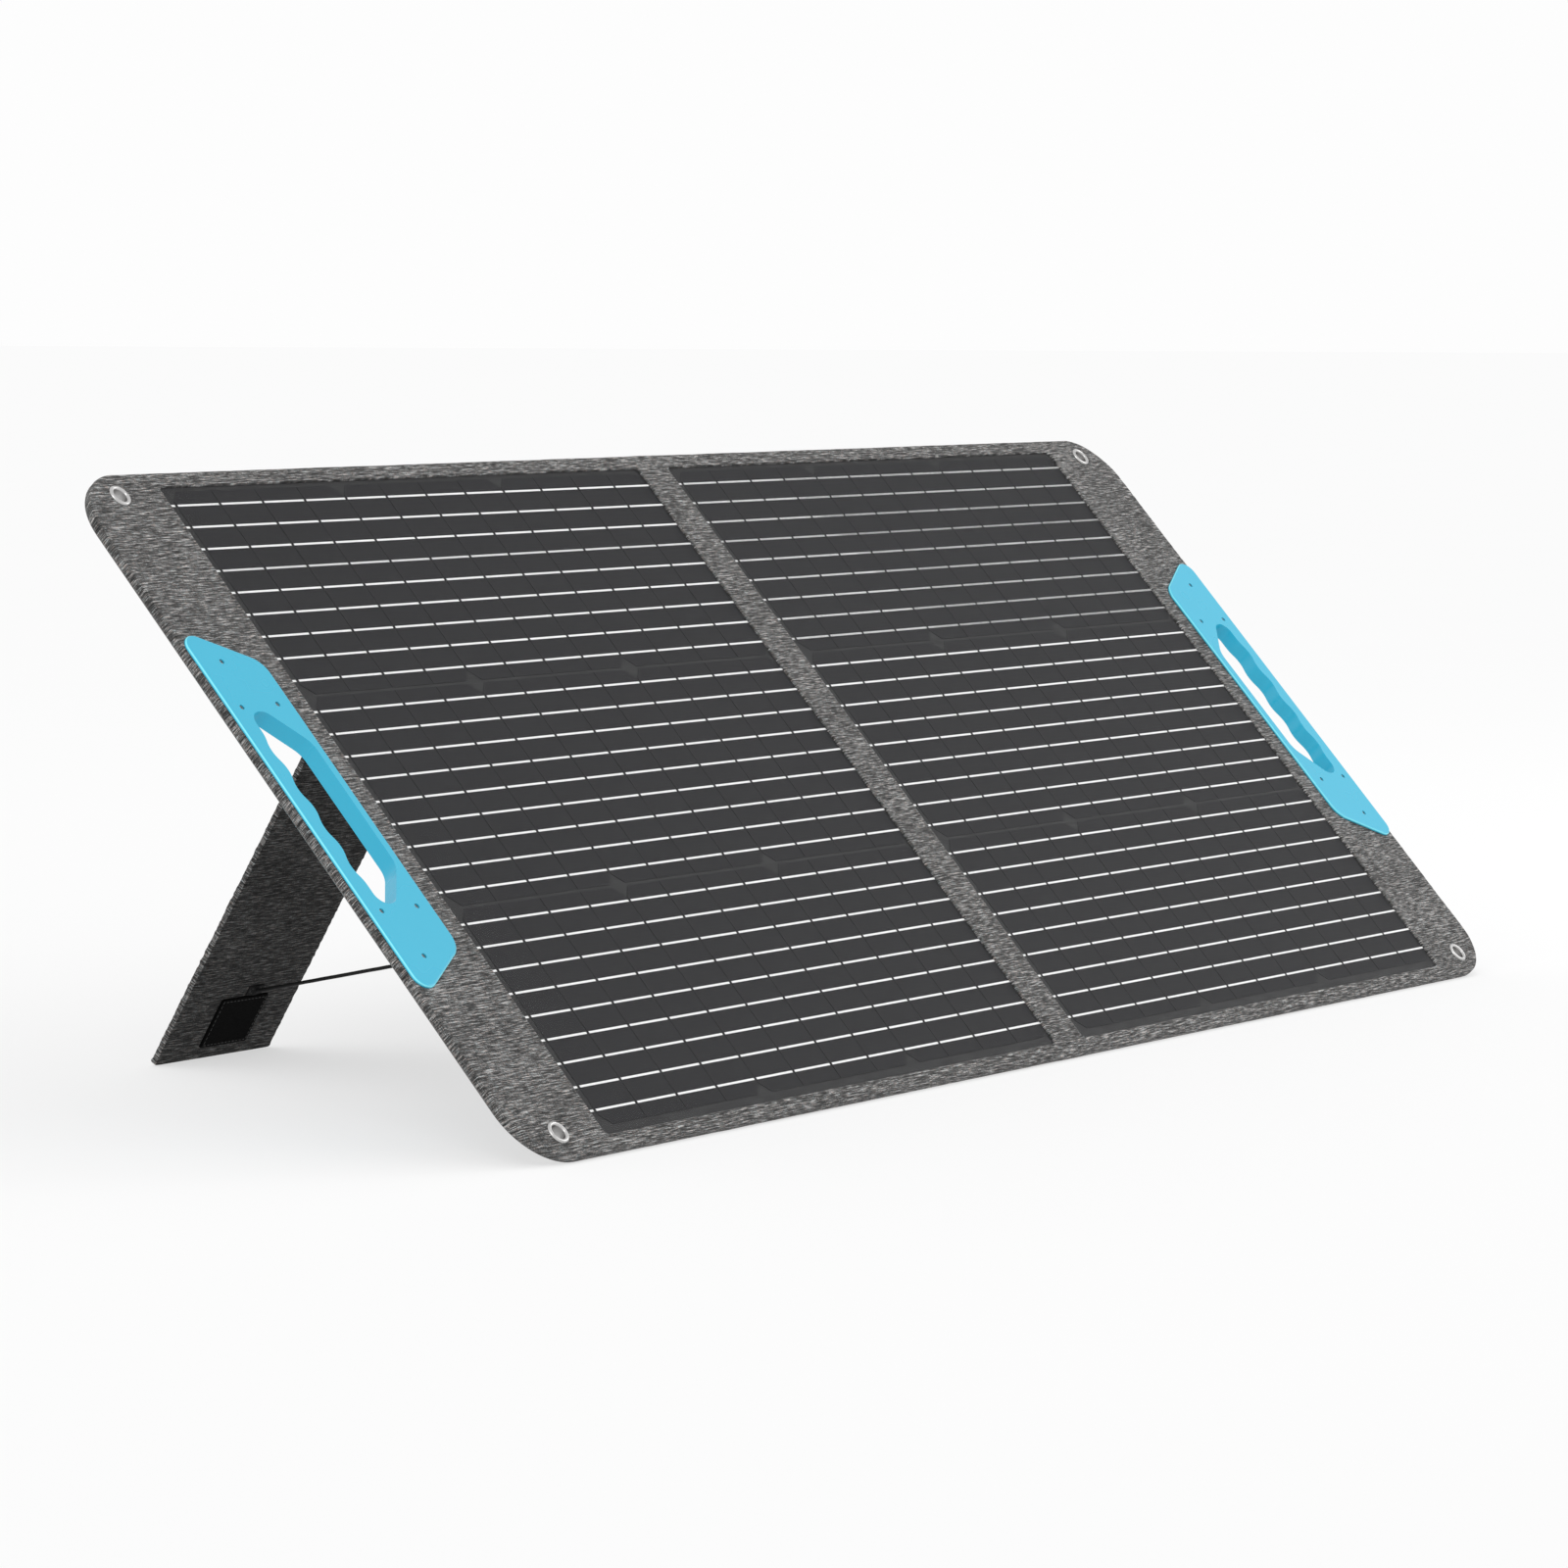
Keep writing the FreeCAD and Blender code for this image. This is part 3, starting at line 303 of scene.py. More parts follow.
def heather(name, tone, gloss, shade_facing=None):
    """Melange fabric: short dark and light slubs along the cloth, over a speckled plain weave.

    Where the cloth faces a given direction, it is darkened by painted shade.
    """
    made, tree, shader = new_material(
        name, Sheen_Weight=gloss * 0.2, Sheen_Roughness=0.5, Specular_IOR_Level=gloss
    )
    place = cloth_place(tree)
    drift = noisy(tree, place, (40, 40, 1), 1.0)
    bent = add(tree, "ShaderNodeCombineXYZ", {1: maths(tree, "MULTIPLY", drift, SLUB_DRIFT)})
    place = add(tree, "ShaderNodeVectorMath", {0: place, 1: bent.outputs[0]}, operation="ADD")
    place = place.outputs[0]
    slub = noisy(tree, place, (125, 1650, 1), 2.0, 0.6)
    streak = noisy(tree, place, (60, 900, 1), 1.0)
    speck = noisy(tree, place, (1250, 1500, 1), 2.0, 0.7)
    warp = noisy(tree, place, (1500, 330, 1), 1.0)
    cloud = noisy(tree, place, (18, 30, 1), 1.0)
    total = maths(tree, "MULTIPLY", streak, 1.2)
    for layer, weight in ((slub, 1.9), (speck, 0.9), (warp, 0.6), (cloud, 0.2)):
        total = maths(tree, "MULTIPLY_ADD", layer, weight, total)
    level = maths(tree, "SUBTRACT", total, ABOVE_MIDDLE)
    stops = [(0.0, 0.008), (0.3, 0.028), (0.5, 0.083), (0.7, 0.215), (1.0, 0.55)]
    colour = ramp(tree, level, [(at, grey(value * tone, 0.012)) for at, value in stops])
    thread = noisy(tree, place, (260, 1400, 1), 1.0)
    hues = [(0.3, (0.88, 1.0, 1.03)), (0.5, WHITE), (0.7, (1.14, 0.98, 0.9))]
    colour = tinted(tree, colour, ramp(tree, thread, hues))
    # Painted shade: the base colour is darker where the cloth faces the given direction, the face of a kickstand
    # towards the leaf.
    if shade_facing:
        facing = add(tree, "ShaderNodeTexCoord").outputs["Normal"]
        share = add(tree, "ShaderNodeVectorMath", {0: facing, 1: shade_facing}, operation="DOT_PRODUCT")
        dark = ramp(tree, share.outputs["Value"], [(0.6, WHITE), (0.9, grey(PAINTED_SHADE_LEVEL))])
        colour = tinted(tree, colour, dark)
    tree.links.new(colour, shader.inputs["Base Color"])
    roughened(tree, shader, slub, 0.8, 0.95)
    weave = weave_height(tree, place, THREAD)
    height = maths(tree, "MULTIPLY_ADD", slub, 1.2, maths(tree, "MULTIPLY", weave, 0.6))
    relief(tree, shader, maths(tree, "MULTIPLY_ADD", speck, 0.8, height), 0.00035, 0.8)
    return made


def thread_material(name, level):
    """Sewing thread: slightly uneven dye and fine fuzz."""
    made, tree, shader = new_material(name, Sheen_Weight=0.3)
    place = add(tree, "ShaderNodeTexCoord").outputs["Object"]
    dye = noisy(tree, place, (900, 900, 900), 2.0)
    coloured(tree, shader, dye, [(0.35, grey(level * 0.6)), (0.65, grey(level * 1.4))])
    roughened(tree, shader, dye, 0.6, 0.85)
    relief(tree, shader, noisy(tree, place, (3000, 3000, 3000)), 0.0001, 0.6)
    return made


def braid_material():
    """Braided cord: diagonal plaits round a fine dark cord."""
    made, tree, shader = new_material("braid", Specular_IOR_Level=0.25)
    place = cloth_place(tree)
    parts = add(tree, "ShaderNodeSeparateXYZ", {0: place}).outputs
    plies = []
    for operation in ("ADD", "SUBTRACT"):
        slant = maths(tree, operation, parts[0], parts[1])
        turn = maths(tree, "MULTIPLY", slant, 2 * math.pi / PLAIT)
        plies.append(maths(tree, "SINE", turn))
    level = maths(tree, "MULTIPLY_ADD", maths(tree, "MAXIMUM", *plies), 0.5, 0.5)
    coloured(tree, shader, level, [(0.0, grey(0.002)), (1.0, grey(0.012))])
    roughened(tree, shader, level, 0.65, 0.45)
    relief(tree, shader, level, 0.0003, 0.8)
    return made


def pile_material(name, pitch, level, depth):
    """Touch fastener: a mat of small tufts or hooks."""
    made, tree, shader = new_material(name, Roughness=0.95, Specular_IOR_Level=0.08)
    place = cloth_place(tree)
    tuft = add(tree, "ShaderNodeTexVoronoi", {"Vector": place, "Scale": 1 / pitch}).outputs["Distance"]
    mat = noisy(tree, place, (500, 500, 1), 3.0)
    height = maths(tree, "SUBTRACT", mat, tuft)
    stops = [(0.0, grey(level * 0.5)), (0.6, grey(level)), (1.0, grey(level * 1.6))]
    coloured(tree, shader, height, stops)
    relief(tree, shader, height, depth, 0.9)
    return made


WEBBING_RIB = 0.0011  # pitch of the ribs of the webbing


def webbing_material():
    """Close ribbed webbing."""
    made, tree, shader = new_material("webbing", Roughness=0.9, Specular_IOR_Level=0.2)
    place = cloth_place(tree)
    ribs = weave_height(tree, scaled(tree, place, (1.0, 0.6, 1.0)), WEBBING_RIB)
    fuzz = noisy(tree, place, (1500, 1500, 1), 2.0)
    height = maths(tree, "MULTIPLY_ADD", fuzz, 0.6, ribs)
    coloured(tree, shader, height, [(0.3, grey(0.003)), (0.8, grey(0.012))])
    relief(tree, shader, height, 0.0003, 0.8)
    return made


def moulded(name, colour, rough, grain, depth, turn=0.0, shift=0.06):
    """Moulded plastic or rubber: fine grain, faint colour drift and rubbed patches."""
    made, tree, shader = new_material(name)
    place = body_place(tree, turn)
    drift = noisy(tree, place, (14, 14, 14), 3.0)
    low = tuple(value * (1 - shift) for value in colour)
    high = tuple(min(value * (1 + shift), 1.0) for value in colour)
    coloured(tree, shader, drift, [(0.3, low), (0.7, high)])
    scuff = noisy(tree, place, (60, 340, 60), 4.0, 0.65)
    roughened(tree, shader, scuff, rough - 0.05, rough + 0.12, start=0.3, end=0.75)
    relief(tree, shader, noisy(tree, place, (grain, grain, grain), 2.0), depth, 0.5)
    return made


HANDLE_BLUE = (0.028, 0.420, 0.605)
HANDLE_PAINTED_HIGHLIGHT = (7.0, 1.85, 1.5)  # painted highlight: how much lighter each channel is painted on a rounded edge


def handle_material():
    """Satin moulded handle, with a painted highlight that makes it paler along its rounded edges."""
    made, tree, shader = new_material("handle", Specular_IOR_Level=0.45)
    place = body_place(tree, TILT)
    facing = add(tree, "ShaderNodeTexCoord").outputs["Normal"]
    across = add(tree, "ShaderNodeVectorMath", {0: facing, 1: OUT}, operation="DOT_PRODUCT")
    share = maths(tree, "ABSOLUTE", across.outputs["Value"])
    # Painted highlight: the base colour is made paler where the surface rounds over between the front and a side.
    highlight_mask = maths(tree, "MULTIPLY", share, maths(tree, "SUBTRACT", 1.0, share))
    drift = noisy(tree, place, (14, 14, 14), 3.0)
    body = ramp(tree, drift, [(0.3, HANDLE_BLUE), (0.7, tuple(v * 1.02 for v in HANDLE_BLUE))])
    painted_highlight = ramp(tree, highlight_mask, [(0.05, WHITE), (0.22, HANDLE_PAINTED_HIGHLIGHT)])
    tree.links.new(tinted(tree, body, painted_highlight), shader.inputs["Base Color"])
    roughened(tree, shader, noisy(tree, place, (25, 25, 25)), 0.26, 0.31, start=0.3, end=0.75)
    relief(tree, shader, noisy(tree, place, (900, 900, 900), 2.0), 0.00001, 0.15)
    return made


def metal(name, level, rough, brush):
    """Plated metal: fine brushing and dull patches."""
    made, tree, shader = new_material(name, Metallic=1.0)
    place = body_place(tree, TILT)
    dull = noisy(tree, place, (220, 220, 220), 3.0)
    coloured(tree, shader, dull, [(0.3, grey(level * 0.85, 0.01)), (0.7, grey(level, 0.01))])
    roughened(tree, shader, dull, rough - 0.06, rough + 0.1, start=0.3, end=0.7)
    relief(tree, shader, noisy(tree, place, brush, 2.0), 0.00002, 0.4)
    return made


def cell_material():
    """Dark silicon: hair-thin collector fingers, faint crystal drift and a soft lustre."""
    made, tree, shader = new_material("cells", Specular_IOR_Level=0.16)
    place = body_place(tree, TILT)
    parts = add(tree, "ShaderNodeSeparateXYZ", {0: place}).outputs
    fingers = maths(tree, "SINE", maths(tree, "MULTIPLY", parts[0], 2 * math.pi / FINGER_PITCH))
    drift = noisy(tree, place, (9, 24, 1), 2.0)
    grain = noisy(tree, place, (700, 700, 1), 2.0)
    level = maths(tree, "MULTIPLY_ADD", fingers, 0.05, drift)
    level = maths(tree, "MULTIPLY_ADD", maths(tree, "SUBTRACT", grain, 0.5), 0.35, level)
    stops = [(0.25, (0.016, 0.016, 0.018)), (0.75, (0.024, 0.024, 0.026))]
    coloured(tree, shader, level, stops)
    roughened(tree, shader, drift, 0.5, 0.65)
    relief(tree, shader, grain, 0.00003, 0.3)
    return made


def grained(name, scale, detail, stops, rough, bump, **sockets):
    """Smooth face with one fine grain that drives its colour, roughness and relief."""
    made, tree, shader = new_material(name, **sockets)
    grain = noisy(tree, body_place(tree, TILT), scale, detail)
    coloured(tree, shader, grain, stops)
    roughened(tree, shader, grain, *rough)
    relief(tree, shader, grain, *bump)
    return made


def film_material():
    """Clear matt film with a fine embossed grain."""
    stops = [(0.3, (0.022, 0.022, 0.024)), (0.7, (0.030, 0.030, 0.032))]
    sockets = {"Alpha": 0.06, "Specular_IOR_Level": 0.12}
    return grained("film", (1400, 1400, 1), 1.0, stops, (0.45, 0.6), (0.00004, 0.5), **sockets)


def ribbon_material():
    """Tinned ribbon: bright, with faint solder ripples."""
    stops = [(0.3, grey(0.95)), (0.7, WHITE)]
    sockets = {"Specular_IOR_Level": 1.0}
    return grained("ribbon", (220, 900, 1), 2.0, stops, (0.3, 0.5), (0.00004, 0.4), **sockets)


FABRIC = heather("heather", 1.0, 0.3)
# Kickstand sleeve: tone 0.9 all over, with painted shade on its face towards the leaf.
STAND_FABRIC = heather("heather_stand", 0.9, 0.14, (STAND.to_3x3() @ OUT_Z).normalized())
THREAD_GREY = thread_material("thread_grey", 0.10)
THREAD_BLACK = thread_material("thread_black", 0.018)
BRAID = braid_material()
HOOKS = pile_material("hooks", 0.0011, 0.0022, 0.0004)
LOOPS = pile_material("loops", 0.0016, 0.008, 0.0005)
WEBBING = webbing_material()
CAD_LOOKS = {
    "board": moulded("board", (0.16, 0.155, 0.15), 0.8, 900, 0.0001),
    "foam": moulded("foam", (0.2, 0.2, 0.2), 0.9, 1500, 0.0003),
    "black_sheet": moulded("sheet", (0.011, 0.011, 0.012), 0.6, 1400, 0.00004),
    "clear_film": film_material(),
    "solar_cell": cell_material(),
    "tinned_ribbon": ribbon_material(),
    "handle_plastic": handle_material(),
    "screw_steel": metal("screw", 0.34, 0.45, (900, 900, 900)),
    "nickel": metal("nickel", 0.56, 0.30, (1500, 1500, 400)),
    "cable_jacket": moulded("jacket", (0.03, 0.03, 0.03), 0.6, 1500, 0.00005),
    "box_plastic": moulded("box", (0.030, 0.031, 0.033), 0.5, 1700, 0.00008, TILT, 0.1),
    "seal_rubber": moulded("rubber", (0.022, 0.022, 0.022), 0.7, 2200, 0.00005),
    "rail_plastic": moulded("rail", (0.55, 0.54, 0.48), 0.5, 1500, 0.00003),
    "diode_body": moulded("diode", (0.04, 0.04, 0.04), 0.45, 1500, 0.00003),
    "socket_plastic": moulded("socket", (0.026, 0.026, 0.028), 0.35, 1900, 0.00003),
    "heather_fabric": FABRIC,
    "loop_pile": LOOPS,
    "hook_pile": HOOKS,
    "webbing": WEBBING,
    "cord": BRAID,
}


def dress_frame():
    """Gives every CAD node the look of its material slot."""
    for subpart in frame["record"]["subparts"]:
        data = NODES[subpart["node"]].data
        data.materials.clear()
        data.materials.append(CAD_LOOKS[subpart["material_slot"]])


dress_frame()

# ------------ building pieces


class Shell:
    """Points, faces and cloth coordinates of a piece, in millimetres, gathered patch by patch."""

    def __init__(self):
        self.points = []
        self.cloth = []
        self.faces = []
        self.shares = []

    def patch(self, points, cloth, faces, shares=None):
        """Adds points with their own cloth coordinates, faces, and shares of a joint's turn."""
        first = len(self.points)
        self.points.extend(np.asarray(points, float).tolist())
        self.cloth.extend(np.asarray(cloth, float).tolist())
        self.faces.extend([tuple(first + i for i in face) for face in faces])
        self.shares.extend([0.0] * len(points) if shares is None else list(shares))


def ripple(point, size, depth):
    """How far cloth is drawn in at a point, from 0 to depth."""
    value = noise.noise(Vector(point) / size) + 0.5 * noise.noise(Vector(point) / (size * 0.35))
    return depth * min(max(0.5 + 0.6 * value, 0.0), 1.0)


def make_piece(
    name, shell, placed, side, look=FABRIC, weld=True, sharp=50.0, puff=None
):
    """A mesh object from a shell drawn for the right side, mirrored for the left one.

    puff(point) gives how far a point moves along its normal, in millimetres.
    """
    points = np.array(shell.points)
    cloth = np.array(shell.cloth)
    points[:, 0] *= side
    cloth[:, 0] *= side
    mesh = bpy.data.meshes.new(name)
    mesh.from_pydata(points.tolist(), [], shell.faces)
    layer = mesh.uv_layers.new(name="cloth")
    corners = np.empty(len(mesh.loops), int)
    mesh.loops.foreach_get("vertex_index", corners)
    layer.data.foreach_set("uv", (cloth[corners] * MM).astype(np.float32).ravel())
    work = bmesh.new()
    work.from_mesh(mesh)
    if weld:
        bmesh.ops.remove_doubles(work, verts=work.verts, dist=0.004)
    bmesh.ops.recalc_face_normals(work, faces=work.faces)
    if puff:
        work.normal_update()
        for vertex in work.verts:
            point = (vertex.co.x * side, vertex.co.y, vertex.co.z)
            vertex.co += vertex.normal * puff(point)
    work.to_mesh(mesh)
    work.free()
    mesh.transform(placed)
    mesh.shade_smooth()
    mesh.set_sharp_from_angle(angle=math.radians(sharp))
    mesh.materials.append(look)
    piece = show(name, mesh)
    return piece


def bend(piece, body, other, shares, start, end):
    """Blends a piece across the joint of two bodies with given shares of the joint's turn.

    The shares replace the blend that bake_transform spreads from start to end, a use beyond what it was made for.
    """
    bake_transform(piece, body, other, start=tuple(start), end=tuple(end))
    kept = piece.data.attributes.get("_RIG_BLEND")
    if kept:
        kept.data.foreach_set("value", np.array(shares, np.float32))


def loop(corners, counts):
    """Closed loop of points. Corners are (x, y, radius, steps); counts divide the runs after them."""
    arcs = []
    for i, (x, y, radius, steps) in enumerate(corners):
        here = np.array((x, y))
        before = np.array(corners[i - 1][:2]) - here
        after = np.array(corners[(i + 1) % len(corners)][:2]) - here
        before /= np.linalg.norm(before)
        after /= np.linalg.norm(after)
        half = math.acos(float(before @ after)) / 2
        if steps == 0:
            arcs.append([here])
            continue
        middle = before + after
        centre = here + middle / np.linalg.norm(middle) * radius / math.sin(half)
        first = here + before * radius / math.tan(half) - centre
        last = here + after * radius / math.tan(half) - centre
        start = math.atan2(first[1], first[0])
        turn = (math.atan2(last[1], last[0]) - start + math.pi) % (2 * math.pi) - math.pi
        angles = [start + turn * step / steps for step in range(steps + 1)]
        arcs.append([centre + radius * np.array((math.cos(a), math.sin(a))) for a in angles])
    points = []
    for i, arc in enumerate(arcs):
        points.extend(arc)
        target = arcs[(i + 1) % len(arcs)][0]
        for step in range(1, counts[i]):
            points.append(arc[-1] + (target - arc[-1]) * step / counts[i])
    return np.array(points)


def ring_of(flat, level):
    """A flat loop lifted to a level of z."""
    return np.column_stack([flat, np.full(len(flat), level)])


def loft(shell, rings, cloth, shares=None):
    """Faces between rings of equally many points; each ring is closed."""
    count = len(rings[0])
    faces = []
    for row in range(len(rings) - 1):
        for i in range(count):
            j = (i + 1) % count
            faces.append((row * count + i, row * count + j, (row + 1) * count + j, (row + 1) * count + i))
    shell.patch(np.vstack(rings), np.vstack(cloth), faces, shares)


def edge(shell, outline, profile):
    """Rounded edge that follows a profile of (inset, z) round an outline, with unrolled cloth."""
    start = outline(profile[0][0])
    away = outline(profile[0][0] - 1.0) - start
    rings = []
    cloth = []
    run = 0.0
    for i, (inset, level) in enumerate(profile):
        if i:
            run += math.dist(profile[i - 1], profile[i])
        rings.append(ring_of(outline(inset), level))
        cloth.append(start + away * run)
    loft(shell, rings, cloth)


def inside(points, polygon):
    """Which points lie inside a polygon."""
    x, y = points[:, 0][:, None], points[:, 1][:, None]
    x0, y0 = polygon[:, 0], polygon[:, 1]
    x1, y1 = np.roll(x0, -1), np.roll(y0, -1)
    crosses = (y0 > y) != (y1 > y)
    with np.errstate(divide="ignore", invalid="ignore"):
        meets = x < (x1 - x0) * (y - y0) / (y1 - y0) + x0
    return (crosses & meets).sum(1) % 2 == 1


def fill(shell, outer, holes, level, spacing):
    """Triangles over a region with holes, with points of their own inside it."""
    loops = [outer] + list(holes)
    points = np.vstack(loops)
    ties = []
    first = 0
    for one in loops:
        count = len(one)
        ties += [(first + i, first + (i + 1) % count) for i in range(count)]
        first += count
    tree = kdtree.KDTree(len(points))
    for i, (x, y) in enumerate(points):
        tree.insert((x, y, 0), i)
    tree.balance()
    low, high = outer.min(0), outer.max(0)
    columns = np.arange(low[0] + spacing / 2, high[0], spacing)
    rows = np.arange(low[1] + spacing / 2, high[1], spacing)
    grid = np.array([(x + (r % 2) * spacing / 2, y) for r, y in enumerate(rows) for x in columns])
    wanted = inside(grid, outer)
    for hole in holes:
        wanted &= ~inside(grid, hole)
    grid = [p for p in grid[wanted] if tree.find((p[0], p[1], 0))[2] > spacing * 0.5]
    everything = [Vector(p) for p in points] + [Vector(p) for p in grid]
    made, _, faces = delaunay_2d_cdt(everything, ties, [], 0, 1e-4)[:3]
    made = np.array(made)
    faces = np.array([face for face in faces if len(face) == 3])
    centres = made[faces].mean(1)
    wanted = inside(centres, outer)
    for hole in holes:
        wanted &= ~inside(centres, hole)
    shell.patch(ring_of(made, level), made, faces[wanted].tolist())


def slab(shell, outline, levels, rounds, spacing):
    """Closed slab between two levels with rounded edges, filled on both faces."""
    low, high = levels
    under, over = rounds
    turns = [math.radians(angle) for angle in (0.0, 22.5, 45.0, 67.5, 90.0)]
    profile = [(over * (1 - math.sin(a)), high - over * (1 - math.cos(a))) for a in turns]
    for a in turns[::-1]:
        profile.append((under * (1 - math.sin(a)), low + under * (1 - math.cos(a))))
    edge(shell, outline, profile)
    fill(shell, outline(over), [], high, spacing)
    fill(shell, outline(under), [], low, spacing)


def box_outline(lower, upper, radius, spacing, steps=3):
    """Function that gives a rounded rectangle between two corners, drawn in by an inset."""
    left, low = lower[:2]
    right, high = upper[:2]
    across = max(int((right - left) / spacing), 2)
    along = max(int((high - low) / spacing), 2)

    def outline(inset):
        """The rectangle drawn in by an inset, as a closed loop."""
        small = max(radius - inset, 0.05)
        corners = [
            (left + inset, low + inset, small, steps),
            (right - inset, low + inset, small, steps),
            (right - inset, high - inset, small, steps),
            (left + inset, high - inset, small, steps),
        ]
        return loop(corners, [across, along, across, along])

    return outline


STITCH = 2.7  # length of a stitch
STITCH_PITCH = 3.6
STITCH_RADIUS = 0.24
STITCH_SIDES = 6
# (where along a stitch, as a share of its length; how thick it is there, as a share of its radius)
STITCH_RINGS = ((-0.36, 0.85), (0.0, 1.0), (0.36, 0.85))


def stitches(shell, path, normal, sunk=0.08):
    """Lock stitches along a path of 3-D points, on a surface with the given normal."""
    path = [Vector(point) for point in path]
    normal = Vector(normal).normalized()
    lengths = [0.0]
    for a, b in zip(path, path[1:]):
        lengths.append(lengths[-1] + (b - a).length)
    count = max(int(lengths[-1] / STITCH_PITCH), 1)
    pitch = lengths[-1] / count
    span = 0
    for i in range(count):
        middle = (i + 0.5) * pitch
        while span < len(path) - 2 and lengths[span + 1] < middle:
            span += 1
        along = (path[span + 1] - path[span]).normalized()
        at = path[span] + along * (middle - lengths[span])
        side = along.cross(normal).normalized()
        points = [at - along * STITCH / 2 - normal * sunk]
        for shift, swell in STITCH_RINGS:
            for turn in range(STITCH_SIDES):
                a = turn * 2 * math.pi / STITCH_SIDES
                offset = side * math.cos(a) + normal * math.sin(a)
                points.append(at + along * shift * STITCH + offset * STITCH_RADIUS * swell)
        points.append(at + along * STITCH / 2 - normal * sunk)
        faces = []
        last = len(points) - 1
        for turn in range(STITCH_SIDES):
            following = (turn + 1) % STITCH_SIDES
            faces.append((0, 1 + following, 1 + turn))
            for base in (1, 1 + STITCH_SIDES):
                over = base + STITCH_SIDES
                faces.append((base + turn, base + following, over + following, over + turn))
            faces.append((last - STITCH_SIDES + turn, last - STITCH_SIDES + following, last))
        shell.patch(points, [(p.x, p.y) for p in points], faces)


def closed(flat):
    """A closed loop as a path that ends where it starts."""
    return [*flat, flat[0]]


def sew(name, rows, level, facing, placed, side, body, look=THREAD_GREY):
    """Stitches along flat rows at a level of z, facing up or down z and fixed to a body."""
    seam = Shell()
    for row in rows:
        stitches(seam, [(x, y, level) for x, y in row], (0, 0, facing))
    piece = make_piece(name, seam, placed, side, look, weld=False, sharp=80)
    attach(piece, body)


# ------------ tethers

TETHER_LOW, TETHER_HIGH = extent("right_tether")
TETHER_X = (TETHER_LOW[0] + TETHER_HIGH[0]) / 2
TETHER_RADIUS = (TETHER_HIGH[0] - TETHER_LOW[0]) / 2
CORD_SIDES = 12
PLAIT_SWELL = 0.035  # how much the plaits swell a cord, as a share of its radius
PLAIT_STARTS = 3  # plaits side by side round a cord
PLAIT_TWIST = 2.1  # radians that the plaits turn in a millimetre
ANCHOR_LOW, ANCHOR_HIGH = extent("right_tether_anchor")
ANCHOR_MID = (ANCHOR_LOW[1] + ANCHOR_HIGH[1]) / 2
PATCH_LOW, PATCH_HIGH = extent("right_hook_patch", STAND)
LOOP_LOW, LOOP_HIGH = extent("right_loop_patch")
TAB_HEIGHT = ANCHOR_HIGH[1] - ANCHOR_LOW[1]
TAB_WIDTH = ANCHOR_HIGH[0] - ANCHOR_LOW[0]
STAND_TAB_MID = PATCH_HIGH[1] - TAB_HEIGHT / 2
# Route of the right tether in the panel frame, in metres: from the leaf to the open kickstand,
# pulled straight, with a point 6 diameters from each of its tabs.
TETHER_ROUTE = (
    (0.3095, 0.1510, -0.0085),
    (0.3095, 0.1586, -0.0214),
    (0.3095, 0.3207, -0.2983),
    (0.3095, 0.3283, -0.3112),
)


def tether_line(side):
    """Points of a tether in the panel frame, in millimetres, read from its spline."""
    data = bpy.data.curves.new("route", "CURVE")
    data.dimensions = "3D"
    data.resolution_u = 24
    spline = data.splines.new("NURBS")
    spline.points.add(len(TETHER_ROUTE) - 1)
    for point, (across, up, out) in zip(spline.points, TETHER_ROUTE):
        point.co = (across * side, up, out, 1.0)
    spline.order_u = 3
    spline.use_endpoint_u = True
    holder = bpy.data.objects.new("route", data)
    mesh = bpy.data.meshes.new_from_object(holder)
    points = [vertex.co / MM for vertex in mesh.vertices]
    bpy.data.objects.remove(holder)
    bpy.data.meshes.remove(mesh)
    return points


def hinge_angle(point):
    """Direction of a point from the hinge line of the kickstands."""
    return math.atan2(point[2] - HINGE.z, point[1] - HINGE.y)


def make_tether(name, side):
    """Taut braided cord from the leaf to its kickstand; it lies flat between them when folded."""
    line = tether_line(side)
    above = (line[-1] - line[0]).normalized().cross(RIGHT)
    angles = [2 * math.pi * turn / CORD_SIDES for turn in range(CORD_SIDES)]
    rings = []
    cloth = []
    for point in line:
        run = (point - line[0]).length
        ring = []
        for a in angles:
            swell = 1.0 + PLAIT_SWELL * math.sin(run * PLAIT_TWIST + PLAIT_STARTS * a)
            offset = RIGHT * math.cos(a) + above * math.sin(a)
            ring.append(point + offset * TETHER_RADIUS * swell)
        rings.append(ring)
        cloth.append([(run, TETHER_RADIUS * a) for a in angles])
    shell = Shell()
    loft(shell, rings, cloth)
    count = len(shell.points)
    shell.faces.append(tuple(range(CORD_SIDES)))
    shell.faces.append(tuple(range(count - CORD_SIDES, count)))
    for point in shell.points:
        point[0] *= side
    piece = make_piece(f"{name}_tether_cord", shell, PANEL, side, BRAID, weld=False)
    base = hinge_angle(line[0])
    whole = hinge_angle(line[-1]) - base
    shares = [min(max((hinge_angle(point) - base) / whole, 0.0), 1.0) for point in shell.points]
    path = [PANEL @ point for point in line]
    bend(piece, f"{name}_leaf", f"{name}_kickstand", shares, path[0], path[-1])
    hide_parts(f"{name}_tether")


on_both_sides(make_tether)

# ------------ leaf covers

EDGE_STRIP = 4.5  # width of the turned strip on each face
# (inset, height over the cover) of the turned edge at the front: a tight, flattened round.
FRONT_PROFILE = [(EDGE_STRIP, 0.0), (2.8, 0.0), (1.5, -0.02), (0.8, -0.16), (0.3, -0.52), (0.05, -1.1)]

FRONT_ROUND = 2.0  # depth of the turned edge's round at the front


